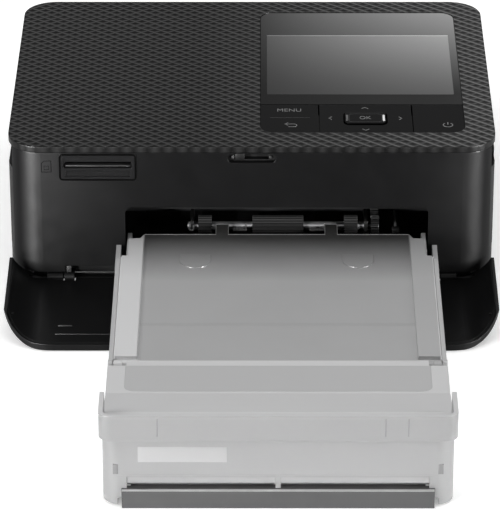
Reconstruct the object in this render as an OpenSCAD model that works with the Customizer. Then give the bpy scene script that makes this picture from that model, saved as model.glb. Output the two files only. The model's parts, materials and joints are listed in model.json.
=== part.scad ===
// Compact photo printer with its front cover open and its paper cassette in place.
// X points right as seen from the front, Y points back and Z points up. Sizes are in millimetres.
// The origin is on the table, under the middle of the casing.

/* [Casing] */
// Width of the casing
body_w = 182.2; // [178:0.1:200]
// Depth of the casing from the front face to the back
body_d = 133; // [131:0.5:150]
// Height of the printer from the table to the top
body_h = 57.6; // [57:0.1:64]
// Radius of the casing's upright corners
corner_r = 12.5; // [9:0.5:14]
// Wall of the casing shells
wall = 2.2; // [1.8:0.1:2.8]
// Thickness of the top cover
top_t = 2.5; // [2.2:0.1:3]
// Height of the rubber feet that show under the floor
foot_h = 2; // [1.8:0.1:2.4]
// Diameter of a rubber foot
foot_d = 12; // [8:0.5:16]
// Thickness of the floor of the bottom case
floor_t = 2; // [1.8:0.1:2.4]
// Height of the front face's lower edge above the table
skirt_z = 5.1; // [5.1:0.1:5.6]

/* [Paper opening] */
// Sideways shift of the paper path from the middle of the casing
path_x = 9.35; // [8:0.05:11]
// Width of the opening in the front face
opening_w = 113.7; // [113.5:0.1:116]
// Height of the opening's top edge above the table
opening_top = 32.4; // [32:0.1:35]
// Radius of the opening's upper corners
opening_r = 3; // [1:0.5:5]
// Height of the paper's way above the table
path_z = 23.6; // [23.5:0.1:24]
// Width of the print paper
paper_w = 100; // [95:0.5:102]

/* [Front cover] */
// Thickness of the front cover
cover_t = 2.4; // [2:0.1:2.6]
// Gap under the open cover
cover_lift = 0.3; // [0.2:0.1:0.5]
// Radius of the front cover's outer corners
cover_corner_r = 19; // [12:0.5:24]
// Height of the hinge line above the table
hinge_z = 3.2; // [3.1:0.05:3.3]
// Distance of the hinge line in front of the front face
hinge_out = 0.1; // [0:0.05:0.2]
// Radius of the hinge pins
hinge_pin_r = 0.8; // [0.6:0.05:0.9]
// Gap between the closed cover and the front face
cover_gap = 0.6; // [0.5:0.05:0.7]
// Thickness of the cover's side wings
wing_t = 1.1; // [0.9:0.1:1.4]
// Height of the wings at the hinge end
wing_rear_h = 7.5; // [6:0.1:8]
// Height of the wings at the far end
wing_front_h = 6.5; // [4:0.1:7]

/* [Control panel] */
// Width of the control panel
panel_w = 76.7; // [74:0.1:80]
// Margin from the back of the casing to the panel
panel_rear = 10.6; // [8:0.1:14]
// Margin from the casing's right side to the panel
panel_right = 11.1; // [9:0.1:13]
// Margin from the front face to the panel
panel_front = 12.4; // [11:0.1:13]
// Radius of the panel's corners
panel_r = 5.5; // [3:0.5:7]
// Gap round the panel and its keys
key_gap = 0.3; // [0.2:0.05:0.4]
// Depth of the row of keys
keys_d = 24.5; // [22:0.5:26]
// Width of the left key
menu_w = 21.7; // [18:0.1:23]
// Width of the pad with the four arrows
pad_w = 34.6; // [30:0.1:36]
// Width of the middle key
ok_w = 15.4; // [12:0.1:17]
// Depth of the middle key
ok_d = 9.5; // [8:0.1:11]
// Travel of a key
key_travel = 0.4; // [0.3:0.05:0.4]
// Thickness of the keys and the display window
key_t = 1.4; // [1.2:0.1:1.5]
// Width of the display
lcd_w = 71.4; // [66:0.1:72]
// Depth of the display
lcd_d = 54.6; // [50:0.1:56]

/* [Card slot] */
// Width of the card slot's surround
bezel_w = 28.9; // [27:0.1:31]
// Height of the card slot's surround
bezel_h = 11.1; // [10:0.1:11.2]
// Margin from the casing's left side to the surround
bezel_left = 19.3; // [17:0.1:22]
// Width of the card slot
slot_w = 25.4; // [24.4:0.1:26]
// Height of the card slot
slot_h = 2.7; // [2.4:0.1:3]

/* [Paper cassette] */
// Width of the cassette's tray
tray_w = 119.3; // [119.2:0.1:120]
// Width of the part that goes into the printer
nose_w = 112.2; // [110:0.1:112.4]
// Distance from the front face to the front of the cassette
tray_reach = 161.7; // [158:0.1:170]
// How far the cassette goes into the printer
nose_in = 10; // [8:0.5:11]
// Wall of the cassette
tray_wall = 1.6; // [1.3:0.1:1.8]
// Height of the tray's side walls above the table
tray_top = 21.5; // [21:0.1:22]
// Distance from the front face to the hinge line of the cassette's covers
lid_hinge_out = 101.5; // [98:0.5:106]
// Width of the outer cover's raised lip
lip_w = 121.3; // [121:0.1:124]
// Height of the lip's top edge above the table
lip_top = 36; // [34:0.1:38]
// Height of the lip's lower edge above the table
lip_bottom = 26.5; // [26:0.1:27]
// Length of the lip's side walls
lip_side = 17; // [12:0.5:22]
// Width of the grey foot bar
bar_w = 106.3; // [100:0.1:108]
// Height of the grey foot bar
bar_h = 7.1; // [6:0.1:7.5]

/* [Drive] */
// Radius of the platen's rubber sleeve
platen_r = 6; // [5.5:0.1:6.2]
// Radius of the platen's shaft
platen_shaft_r = 2.5; // [2:0.1:3]
// Distance from the front face back to the platen
platen_back = 56.5; // [56:0.5:57]
// Radius of the feed roller
feed_r = 4; // [3.5:0.1:4.2]
// Distance from the platen back to the feed roller
feed_back = 24; // [23.5:0.5:24.5]
// Radius of the pinch roller
pinch_r = 3.2; // [2.8:0.1:3.4]
// Radius of the slim shafts
slim_r = 1.5; // [1.3:0.1:1.6]
// Radius of the pickup rollers
pickup_r = 4; // [3.6:0.1:4.2]
// Height of the pickup shaft above the table
pickup_z = 18.1; // [17.9:0.1:18.3]
// Distance from the front face back to the pickup shaft
pickup_back = 13.2; // [13.1:0.1:14]
// Tooth module of the main gears
gear_m = 0.6; // [0.59:0.01:0.61]
// Tooth module of the pickup gears
fine_m = 0.45; // [0.44:0.01:0.46]
// Width of the main gears
gear_w = 4; // [3:0.1:4.5]
// Thickness of the side frames
frame_t = 1.5; // [1.2:0.1:2]
// Diameter of the motor
motor_d = 24; // [20:0.5:24]
// Radial clearance of a shaft in its bore
run_fit = 0.05; // [0.02:0.01:0.1]

/* [Hidden] */
$fn = 64;

cut = 1;            // overshoot of a cut past the face it opens
seat = 0.15;        // clearance round a part that sits in a recess
part_gap = 0.5;     // gap between parts that turn past each other

front_y = -body_d / 2;
back_y = body_d / 2;
left_x = -body_w / 2;
right_x = body_w / 2;
seam_z = body_h - top_t;
floor_z = foot_h + floor_t;
split_y = back_y - corner_r - 4;      // where the rear cover meets the front casing
opening_left = path_x - opening_w / 2;
opening_right = path_x + opening_w / 2;

// Plates and blocks ----------------------------------------------------------

module rounded_rect(w, d, r) {
    square([w - 2 * r, d], center = true);
    square([w, d - 2 * r], center = true);
    for (sx = [-1, 1], sy = [-1, 1])
        translate([sx * (w / 2 - r), sy * (d / 2 - r)])
            circle(r);
}

// A rounded plate centred on x, y with its underside at z
module plate(x, y, z, w, d, h, r)
    translate([x, y, z])
        linear_extrude(h)
            rounded_rect(w, d, r);

// A box from its low corner to its high corner
module span(low, high)
    translate(low)
        cube(high - low);

// Draws children that lie in the Y-Z plane and grow along +X
module along_x(x, y = 0, z = 0)
    translate([x, y, z])
        rotate([90, 0, 90])
            children();

// A round bar along X from x0 to x1
module bar_x(x0, x1, y, z, r)
    along_x(x0, y, z)
        cylinder(h = x1 - x0, r = r);

// Draws children that lie in the X-Z plane and grow along +Y
module along_y(x, y, z)
    translate([x, y, z])
        rotate([-90, 0, 0])
            mirror([0, 1, 0])
                children();

// A rounded hole or plate in a wall that faces the front
module wall_plate(x, y, z, w, t, h, r)
    along_y(x, y, z)
        linear_extrude(t)
            rounded_rect(w, h, r);

// Gears -------------------------------------------------------------------------

pressure_angle = 25;
addendum = 0.85;
dedendum = 1.15;
backlash = 0.1;
flank_steps = 3;

function involute(a) = tan(a) * 180 / PI - a;
function pitch_r(n, m) = n * m / 2;
function tooth_half(rho, n, m) =
    let (base_r = pitch_r(n, m) * cos(pressure_angle),
         a = rho <= base_r ? 0 : acos(base_r / rho))
    90 / n * (1 - backlash) + involute(pressure_angle) - involute(a);
function tooth_points(n, m, i, phase) =
    let (root = pitch_r(n, m) - dedendum * m,
         tip = pitch_r(n, m) + addendum * m)
    [for (side = [-1, 1], k = [0 : flank_steps])
        let (step = side < 0 ? k : flank_steps - k,
             rho = root + (tip - root) * step / flank_steps,
             a = phase + i * 360 / n + side * tooth_half(rho, n, m))
        rho * [cos(a), sin(a)]];

module gear(n, m, w, bore_r, phase)
    difference() {
        linear_extrude(w)
            polygon([for (i = [0 : n - 1]) each tooth_points(n, m, i, phase)]);
        translate([0, 0, -cut])
            cylinder(h = w + 2 * cut, r = bore_r);
    }

// Phase of gear B, which meshes with gear A in the direction dir as seen from A
function mesh(phase_a, n_a, dir, n_b) = dir + 180 + 180 / n_b + (dir - phase_a) * n_a / n_b;
function angle_to(a, b) = atan2(b[1] - a[1], b[0] - a[0]);
function step_from(a, dir, dist) = a + dist * [cos(dir), sin(dir)];
// Centre at distance ra from a and rb from b, on the side given by sign
function between(a, b, ra, rb, sign) =
    let (d = norm(b - a),
         u = (ra * ra - rb * rb + d * d) / (2 * d),
         v = sqrt(max(ra * ra - u * u, 0)),
         dir = angle_to(a, b))
    a + u * [cos(dir), sin(dir)] + sign * v * [-sin(dir), cos(dir)];

platen_teeth = 40;
pinion_teeth = 12;
idler_teeth = 14;
feed_teeth = 26;
takeup_teeth = 44;
transfer_teeth = 16;
drive_teeth = 24;
fine_teeth = 17;

// Shaft centres as [y, z]
platen_at = [front_y + platen_back, path_z - platen_r - 0.1];
feed_at = [platen_at[0] + feed_back, path_z - feed_r];
pinch_at = [feed_at[0], path_z + 0.1 + pinch_r];
pickup_at = [front_y + pickup_back, pickup_z];
fine_step = fine_teeth * fine_m;
pickup_idler_at = pickup_at + [fine_step, 0];
pickup_drive_at = pickup_at + [2 * fine_step, 0];
motor_dir = 34;
motor_at = step_from(platen_at, motor_dir, (platen_teeth + pinion_teeth) * gear_m / 2);
idler_at = between(platen_at, feed_at, (platen_teeth + idler_teeth) * gear_m / 2,
    (idler_teeth + feed_teeth) * gear_m / 2, -1);
takeup_at = feed_at + [0, (feed_teeth + takeup_teeth) * gear_m / 2];
transfer_at = between(platen_at, pickup_drive_at, (platen_teeth + transfer_teeth) * gear_m / 2,
    (transfer_teeth + drive_teeth) * gear_m / 2, 1);
supply_at = [platen_at[0] - 23, platen_at[1] + 19.1];

platen_phase = 0;
pinion_phase = mesh(platen_phase, platen_teeth, motor_dir, pinion_teeth);
idler_phase = mesh(platen_phase, platen_teeth, angle_to(platen_at, idler_at), idler_teeth);
feed_phase = mesh(idler_phase, idler_teeth, angle_to(idler_at, feed_at), feed_teeth);
takeup_phase = mesh(feed_phase, feed_teeth, 90, takeup_teeth);
transfer_phase = mesh(platen_phase, platen_teeth, angle_to(platen_at, transfer_at), transfer_teeth);
drive_phase = mesh(transfer_phase, transfer_teeth, angle_to(transfer_at, pickup_drive_at), drive_teeth);
fine_drive_phase = 0;
fine_idler_phase = mesh(fine_drive_phase, fine_teeth, 180, fine_teeth);
pickup_phase = mesh(fine_idler_phase, fine_teeth, 180, fine_teeth);

// Places along X
frame_reach = 61.5;                        // from the path's middle to a side frame
left_frame_x = path_x - frame_reach;       // inner face of the left frame
right_frame_x = path_x + frame_reach;      // inner face of the right frame
gear_x1 = left_frame_x - frame_t - part_gap;
gear_x0 = gear_x1 - gear_w;
bracket_t = 1.5;
bracket_x = gear_x0 - part_gap - bracket_t;
fine_x0 = path_x + 35.7;                   // the row of small gears
fine_w = 3;
arm_t = 1.4;
arm_left_x = path_x - 32.6;
arm_right_x = path_x + 33.1;

// Casing ----------------------------------------------------------------------------

module outline(inset, z0, z1)
    plate(0, 0, z0, body_w - 2 * inset, body_d - 2 * inset, z1 - z0, corner_r - inset);

floor_inset = 1;
rim_t = 1.4;
rim_inset = wall + 0.3;
rim_top = skirt_z + 4.4;
hinge_bay = 3.5;                           // room for the cover's hinge in front of the floor
floor_front = front_y + hinge_bay;
hinge_y = front_y - hinge_out;
knuckle_r = 1.7;
knuckle_w = 6;
bracket_w = 3.7;
bracket_x0 = opening_right + 0.8;          // inner end of a hinge bracket, on both sides
screw_r = 1.2;
screw_head_r = 2.4;
screw_spots = [for (sx = [-1, 1], sy = [-1, 1])
    [sx * (body_w / 2 - 9), sy < 0 ? front_y + 14 : back_y - 9]];
post_r = 3.4;
post_top = rim_top + 10;

module hinge_bracket(side) {
    x = side < 0 ? -bracket_x0 - bracket_w : bracket_x0;
    difference() {
        union() {
            bar_x(x, x + bracket_w, hinge_y, hinge_z, knuckle_r);
            span([x, hinge_y, foot_h], [x + bracket_w, floor_front + cut, hinge_z + knuckle_r]);
        }
        bar_x(x - cut, x + bracket_w + cut, hinge_y, hinge_z, hinge_pin_r);
    }
}

module bottom_case() color("#1c1c1e") {
    difference() {
        union() {
            outline(floor_inset, foot_h, floor_z);
            difference() {
                outline(rim_inset, floor_z - cut / 2, rim_top);
                outline(rim_inset + rim_t, floor_z - cut, rim_top + cut);
            }
        }
        // the hinge bay and the way in for the cassette
        span([left_x - cut, front_y - cut, foot_h - cut], [right_x + cut, floor_front, rim_top + cut]);
        span([opening_left - 1, front_y - cut, floor_z], [opening_right + 1, front_y + 12, rim_top + cut]);
        for (side = [-1, 1])
            span([side < 0 ? left_x - cut : arc_x + 4, front_y - cut, foot_h - cut],
                 [side < 0 ? -arc_x - 4 : right_x + cut, front_y + wing_rear_h + 1.5, floor_z + cut]);
        for (p = screw_spots)
            translate([p[0], p[1], foot_h - cut])
                cylinder(h = floor_t + 2 * cut, r = screw_r + 0.2);
        // vent slots in the floor
        for (k = [0 : 5])
            plate(left_x + 17 + 5 * k, 12, foot_h - cut, 2, 26, floor_t + 2 * cut, 0.9);
    }
    span([left_x + 14, floor_front, floor_z - cut / 2], [opening_left - 1, floor_front + rim_t, rim_top]);
    span([opening_right + 1, floor_front, floor_z - cut / 2], [right_x - 14, floor_front + rim_t, rim_top]);
    for (side = [-1, 1])
        hinge_bracket(side);
    // posts that carry the main board
    for (y = board_posts)
        translate([board_post_x, y, floor_z - cut / 2])
            cylinder(h = board_z - floor_z + cut / 2, r = 2.5);
}

module rubber_feet() color("#2a2a2b")
    for (sx = [-1, 1], sy = [-1, 1])
        translate([sx * (body_w / 2 - 22), sy * (body_d / 2 - 18), 0])
            cylinder(h = foot_h, d = foot_d);

module case_screws() color("silver")
    for (p = screw_spots)
        translate([p[0], p[1], 0]) {
            translate([0, 0, foot_h - 1.1])
                cylinder(h = 1.1, r = screw_head_r);
            translate([0, 0, foot_h - 1.1])
                cylinder(h = 11, r = screw_r);
        }

// Grip recess beside the closed cover's edge
notch_z = 46.2;
notch_depth = 1.5;
notch_y0 = front_y + 3.5;
notch_y1 = front_y + 26;

// Ink door in the right wall
door_z = 12;                               // hinge line
door_top = 50;
door_front = front_y + 16;
door_rear = split_y - 6;
door_barrel_r = 1.8;
door_pin_r = 0.8;
door_x = right_x - 0.1 - door_barrel_r;
door_gap = 0.35;
lug_l = 4;

// Vent panel in the left wall
vent_front = front_y + 22;
vent_rear = split_y - 8;
vent_z0 = 16;
vent_z1 = 45;
vent_back_t = 1.2;                         // plate behind the vent panel
vent_margin = 6;
vent_slots = 12;
vent_slot_w = 2.4;
vent_pitch = (vent_rear - vent_front - 2 * vent_margin - vent_slot_w) / (vent_slots - 1);

bezel_x = left_x + bezel_left + bezel_w / 2;
bezel_top = seam_z - 0.2;
bezel_z = bezel_top - bezel_h / 2;
bezel_rim = 1;
slot_z = bezel_top - 4.65;

catch_w = 18;
catch_h = 3.7;
catch_z = seam_z - 0.4 - catch_h / 2;

recess_h = 2.6;                            // lug recess left of the opening
recess_w = 22.8;

module casing_shell(z0, z1)
    difference() {
        outline(0, z0, z1);
        outline(wall, z0 - cut, z1 + cut);
    }

module casing_posts(rear)
    for (p = screw_spots)
        if ((p[1] > 0) == rear)
            difference() {
                union() {
                    translate([p[0], p[1], rim_top + 0.3])
                        cylinder(h = post_top - rim_top, r = post_r);
                    translate([p[0], p[1], floor_z])
                        cylinder(h = post_top - floor_z, r = screw_r + 1);
                    span([p[0] > 0 ? p[0] : left_x + wall / 2, p[1] - 1, rim_top + 0.3],
                         [p[0] > 0 ? right_x - wall / 2 : p[0], p[1] + 1, post_top]);
                }
                translate([p[0], p[1], floor_z - cut])
                    cylinder(h = 12, r = screw_r);
            }

// The front casing's walls with all their openings
module front_walls()
    difference() {
        casing_shell(skirt_z, seam_z);
        span([left_x - cut, split_y, skirt_z - cut], [right_x + cut, back_y + cut, seam_z + cut]);
        // paper opening
        span([opening_left, front_y - cut, skirt_z - cut],
             [opening_right, front_y + wall + cut, opening_top - opening_r]);
        wall_plate(path_x, front_y - cut, opening_top - 2 * opening_r, opening_w, wall + 2 * cut,
            4 * opening_r, opening_r);
        // recess for the cover's lugs
        span([opening_left - recess_w, front_y - cut, skirt_z - cut],
             [opening_left + cut, front_y + wall + cut, skirt_z + recess_h]);
        wall_plate(bezel_x, front_y - cut, bezel_z, bezel_w - 2 * bezel_rim, wall + 2 * cut,
            bezel_h - 2 * bezel_rim, 1);
        wall_plate(0, front_y - cut, catch_z, catch_w, wall + 2 * cut, catch_h, 1.6);
        for (side = [-1, 1])
            span([side < 0 ? left_x - cut : right_x - notch_depth, notch_y0, notch_z],
                 [side < 0 ? left_x + notch_depth : right_x + cut, notch_y1, seam_z + cut]);
        // ink door
        span([right_x - wall - cut, door_front, door_z - door_barrel_r - part_gap],
             [right_x + cut, door_rear, door_top]);
        // vent panel
        span([left_x - cut, vent_front, vent_z0], [left_x + wall + cut, vent_rear, vent_z1]);
    }

module front_casing() color("#26272a")
    difference() {
        union() {
            front_walls();
            casing_posts(false);
            // lugs that hold the ink door's pins
            for (y = [door_front - lug_l, door_rear])
                span([door_x - 2.2, y, door_z - 2.2], [right_x - wall / 2, y + lug_l, door_z + 2.2]);
        }
        for (y = [door_front - lug_l - part_gap, door_rear - cut])
            translate([door_x, y, door_z])
                rotate([-90, 0, 0])
                    cylinder(h = lug_l + part_gap + cut, r = door_pin_r);
    }

rear_slot_w = paper_w + 8;
rear_slot_z0 = path_z - 1.6;
rear_slot_z1 = path_z + 6.6;
battery_w = 52;
battery_h = 13;
battery_x = path_x + 12;
battery_z = 42;
inlet_w = 11;
inlet_x = screw_spots[0][0] + post_r + inlet_w / 2 + 1.6;
inlet_h = 11;
inlet_z = floor_z + 12;
data_x = inlet_x + 18;
data_w = 9.4;
data_h = 3.6;
data_z = floor_z + 9;

module rear_cover() color("#26272a") {
    difference() {
        casing_shell(skirt_z, seam_z);
        span([left_x - cut, front_y - cut, skirt_z - cut], [right_x + cut, split_y, seam_z + cut]);
        wall_plate(path_x, back_y - wall - cut, (rear_slot_z0 + rear_slot_z1) / 2, rear_slot_w,
            wall + 2 * cut, rear_slot_z1 - rear_slot_z0, 1.5);
        wall_plate(battery_x, back_y - wall - cut, battery_z, battery_w, wall + 2 * cut, battery_h, 1);
        wall_plate(inlet_x, back_y - wall - cut, inlet_z, inlet_w + 2 * seat, wall + 2 * cut,
            inlet_h + 2 * seat, 0.2);
        wall_plate(data_x, back_y - wall - cut, data_z, data_w + 2 * seat, wall + 2 * cut,
            data_h + 2 * seat, 1.5);
        for (k = [0 : 7])
            wall_plate(left_x + 20 + 4.5 * k, back_y - wall - cut, 41, 2, wall + 2 * cut, 16, 0.9);
    }
    casing_posts(true);
}

module battery_cover() color("#2b2c2f") {
    wall_plate(battery_x, back_y - wall, battery_z, battery_w - 2 * seat, wall, battery_h - 2 * seat, 0.9);
    wall_plate(battery_x, back_y - wall - 1.2, battery_z, battery_w + 4, 1.2, battery_h + 4, 1);
}

module left_side_panel() color("#303134")
    difference() {
        union() {
            span([left_x, vent_front + seat, vent_z0 + seat],
                 [left_x + wall, vent_rear - seat, vent_z1 - seat]);
            span([left_x + wall, vent_front - 2, vent_z0 - 2],
                 [left_x + wall + vent_back_t, vent_rear + 2, vent_z1 + 2]);
        }
        for (k = [0 : vent_slots - 1])
            span([left_x - cut, vent_front + vent_margin + vent_pitch * k, vent_z0 + 5],
                 [left_x + wall + 3, vent_front + vent_margin + vent_pitch * k + vent_slot_w, vent_z1 - 5]);
    }

panel_d = body_d - panel_front - panel_rear;
panel_x = right_x - panel_right - panel_w / 2;
panel_y = front_y + panel_front + panel_d / 2;
panel_top = body_h - 0.2;
glass_z = panel_top - key_t;
tray_t = 1.5;
tray_z = seam_z - tray_t;

module top_cover() color("#2a2b2d") {
    difference() {
        outline(0, seam_z, body_h);
        plate(panel_x, panel_y, seam_z - cut, panel_w + 2 * seat, panel_d + 2 * seat,
            top_t + 2 * cut, panel_r + seat);
    }
    // locating ribs inside the casing
    for (side = [-1, 1])
        translate([side * (body_w / 2 - rim_inset - 0.6), 2, seam_z - 1.5])
            cube([1.2, body_d * 0.54, 5], center = true);
    translate([0, back_y - rim_inset - 0.6, seam_z - 1.5])
        cube([body_w - 2 * corner_r - 12, 1.2, 5], center = true);
}

// Control panel -------------------------------------------------------------------------

panel_left = panel_x - panel_w / 2;
panel_near = panel_y - panel_d / 2;
keys_far = panel_near + keys_d;
lcd_x = panel_x - 0.2;
lcd_y = panel_y + 6.0;
ok_x = panel_left + menu_w + key_gap * 2 + pad_w / 2 - 0.1;
ok_y = panel_near + keys_d / 2;
keys_mid_y = panel_near + keys_d / 2;
pad_x0 = panel_left + menu_w + 2 * key_gap;
power_x0 = pad_x0 + pad_w + 2 * key_gap;
power_w = panel_left + panel_w - power_x0;
stem_r = 1.2;
board_t = 1.2;
dome_h = 0.15;
stem_low = tray_z - 0.4;
key_board_z = stem_low - key_travel - 0.05 - dome_h - board_t;
menu_stems = [[panel_left + 11, panel_near + 6.8], [panel_left + 11, panel_near + 19.5]];
pad_stems = [for (a = [0 : 90 : 270]) [ok_x + 13 * cos(a), ok_y + 9.4 * sin(a)]];
power_stems = [[panel_left + panel_w - 6.3, panel_near + 7]];
all_stems = concat(menu_stems, pad_stems, power_stems, [[ok_x, ok_y]]);

module panel_outline(inset, z0, z1)
    plate(panel_x, panel_y, z0, panel_w - 2 * inset, panel_d - 2 * inset, z1 - z0, panel_r - inset);

module panel_tray() color("#141416") {
    difference() {
        union() {
            panel_outline(-2, tray_z, seam_z);
            difference() {
                panel_outline(0, tray_z, glass_z);
                panel_outline(1.2, tray_z - cut, glass_z + cut);
                // the keys reach out to the panel's edge
                span([panel_left - cut, panel_near - cut, seam_z],
                     [panel_left + panel_w + cut, keys_far, glass_z + cut]);
            }
            span([panel_left, keys_far + key_gap, seam_z - cut / 2],
                 [panel_left + panel_w, keys_far + key_gap + 1.4, glass_z]);
        }
        plate(lcd_x, lcd_y, tray_z - cut, lcd_w + 2 * seat, lcd_d + 2 * seat, 6, 1);
        for (p = all_stems)
            translate([p[0], p[1], tray_z - cut])
                cylinder(h = tray_t + 2 * cut, r = stem_r + 0.3);
    }
    for (x = [panel_left + 5, panel_left + panel_w - 13], y = [panel_near + 3, keys_far - 1.5])
        translate([x, y, key_board_z + board_t])
            cylinder(h = tray_z - key_board_z - board_t + cut / 2, r = 1.5);
}

module display_window() color("#0c0c0e")
    intersection() {
        panel_outline(0, glass_z, panel_top);
        span([panel_left - cut, keys_far + key_gap, glass_z - cut],
             [panel_left + panel_w + cut, panel_near + panel_d + cut, panel_top + cut]);
    }

module lcd_module() color("#3c4043")
    plate(lcd_x, lcd_y, glass_z - 3, lcd_w, lcd_d, 3, 0.8);

module key_board() color("darkgreen") {
    span([panel_left + 1, panel_near + 1.4, key_board_z],
         [panel_left + panel_w - 3, keys_far + 1, key_board_z + board_t]);
    for (p = all_stems)
        translate([p[0], p[1], key_board_z + board_t])
            cylinder(h = dome_h, r = 2);
}

// One key of the panel's front row: its plate and its stems
module row_key(x0, x1, stems) {
    intersection() {
        panel_outline(0, glass_z, panel_top);
        span([x0, panel_near - cut, glass_z - cut], [x1, keys_far - key_gap, panel_top + cut]);
    }
    for (p = stems)
        translate([p[0], p[1], stem_low])
            cylinder(h = glass_z - stem_low + 0.5, r = stem_r);
}

module menu_key() color("#101012")
    row_key(panel_left, pad_x0 - 2 * key_gap, menu_stems);

module pad_key() color("#101012")
    difference() {
        row_key(pad_x0, pad_x0 + pad_w, pad_stems);
        plate(ok_x, ok_y, glass_z - cut, ok_w + 4 * key_gap, ok_d + 4 * key_gap, key_t + 2 * cut, 2.2);
    }

module ok_key() color("#101012") {
    plate(ok_x, ok_y, glass_z, ok_w, ok_d, key_t + 0.4, 1.8);
    translate([ok_x, ok_y, stem_low])
        cylinder(h = glass_z - stem_low + 0.5, r = stem_r);
}

module power_key() color("#101012")
    row_key(power_x0, panel_left + panel_w, power_stems);

// Card slot and boards ---------------------------------------------------------------------

board_z = 43.6;
board_thick = 1.6;
board_right = bracket_x - 1.2;
board_front = front_y + 7.2;
board_left = left_x + wall + 2;
board_rear = back_y - 9;
board_w = board_right - board_left;
board_l = board_rear - board_front;
board_post_x = left_x + 12;
board_posts = [front_y + 26, back_y - 18];

module card_slot_bezel() color("#1a1a1c")
    difference() {
        union() {
            wall_plate(bezel_x, front_y - 0.35, bezel_z, bezel_w, 0.35, bezel_h, 1.5);
            wall_plate(bezel_x, front_y - 0.1, bezel_z, bezel_w - 2 * bezel_rim - 2 * seat, wall + 0.4,
                bezel_h - 2 * bezel_rim - 2 * seat, 0.85);
        }
        wall_plate(bezel_x, front_y - cut, slot_z, slot_w, wall + 3, slot_h, 0.6);
        span([bezel_x - bezel_w / 2 + 2.4, front_y - cut, bezel_z - bezel_h / 2 + 1.6],
             [bezel_x + bezel_w / 2 - 2.4, front_y + 0.2, slot_z - slot_h / 2 - 1]);
    }

socket_y0 = front_y + wall + 0.3;
socket_top = seam_z - 2.4;
socket_l = 26;

module card_socket() color("silver")
    difference() {
        span([bezel_x - slot_w / 2 - 0.6, socket_y0, board_z + board_thick],
             [bezel_x + slot_w / 2 + 0.6, socket_y0 + socket_l, socket_top]);
        span([bezel_x - slot_w / 2 + 0.4, socket_y0 - cut, slot_z - slot_h / 2 + 0.1],
             [bezel_x + slot_w / 2 - 0.4, socket_y0 + socket_l - 2, slot_z + slot_h / 2 - 0.1]);
    }

module main_board() color("#1d5a35") {
    span([board_left, board_front, board_z], [board_right, board_rear, board_z + board_thick]);
    // capacitors and a controller
    for (k = [0 : 2])
        translate([board_left + board_w * (0.3 + 0.27 * k), board_front + board_l * 0.62,
            board_z + board_thick])
            cylinder(h = 5, r = board_w * 0.115);
    span([board_left + board_w * 0.3, board_front + board_l * 0.34, board_z + board_thick],
         [board_left + board_w * 0.85, board_front + board_l * 0.46, board_z + board_thick + 1.4]);
}

module cover_catch() color("#333437")
    difference() {
        span([-catch_w / 2 - 2, front_y + wall, catch_z - catch_h / 2 - 1.4],
             [catch_w / 2 + 2, front_y + wall + 4, seam_z]);
        span([-catch_w / 2 + 2.6, front_y, catch_z - catch_h / 2 + 0.4],
             [catch_w / 2 - 2.6, front_y + wall + 2.6, catch_z + catch_h / 2 - 0.2]);
    }

module power_inlet() color("#18181a")
    difference() {
        span([inlet_x - inlet_w / 2, back_y - 14, floor_z],
             [inlet_x + inlet_w / 2, back_y, inlet_z + inlet_h / 2]);
        along_y(inlet_x, back_y - 10, inlet_z)
            cylinder(h = 12, r = 3.2);
        span([inlet_x - inlet_w / 2 - cut, back_y - rim_inset - rim_t - seat, floor_z - cut],
             [inlet_x + inlet_w / 2 + cut, back_y + cut, inlet_z - inlet_h / 2]);
    }

module data_socket() color("silver")
    difference() {
        union() {
            wall_plate(data_x, back_y - 9, data_z, data_w, 8.7, data_h, 1.4);
            span([data_x - data_w / 2 + 1, back_y - 9, floor_z],
                 [data_x + data_w / 2 - 1, back_y - 4, data_z]);
        }
        wall_plate(data_x, back_y - 7, data_z, data_w - 1, 8, data_h - 1, 1);
    }

// Front cover --------------------------------------------------------------------------------

cover_inner_z = cover_lift + cover_t;
closed_y = hinge_y + cover_inner_z - hinge_z;           // inner face when closed
inner_arc_r = corner_r + (front_y - closed_y);          // follows the casing's corner
arc_x = body_w / 2 - corner_r;
arc_z = hinge_z + (front_y + corner_r) - hinge_y;       // the corner's centre, laid open
cover_reach = seam_z + 0.3 - hinge_z;
cover_tip_y = hinge_y - cover_reach;
hook_w = 4;
hook_h = 1.6;

wing_top = cover_inner_z + wing_rear_h;
cover_half = arc_x + sqrt(pow(inner_arc_r, 2) - pow(arc_z - wing_top, 2)) + wing_t;
skin_r = inner_arc_r + 1.4;                             // outer skin of the wings
skin_x = cover_half - sqrt(pow(skin_r, 2) - pow(skin_r + cover_lift - wing_top, 2));
wing_back = hinge_z - 0.5;                              // how far the wings reach behind the hinge

// The cover's cross-section: a flat plate whose ends turn up along the casing's corners
module cover_section()
    difference() {
        intersection() {
            union() {
                translate([-skin_x, cover_lift])
                    square([2 * skin_x, 2 * skin_r]);
                for (side = [-1, 1])
                    translate([side * skin_x, cover_lift + skin_r])
                        circle(skin_r);
            }
            translate([-body_w, 0])
                square([2 * body_w, wing_top]);
        }
        translate([-arc_x, cover_inner_z])
            square([2 * arc_x, 2 * inner_arc_r]);
        for (side = [-1, 1])
            translate([side * arc_x, arc_z])
                circle(inner_arc_r);
    }

knuckle_x = [-bracket_x0 - bracket_w - part_gap - knuckle_w, bracket_x0 + bracket_w + part_gap];

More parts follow.
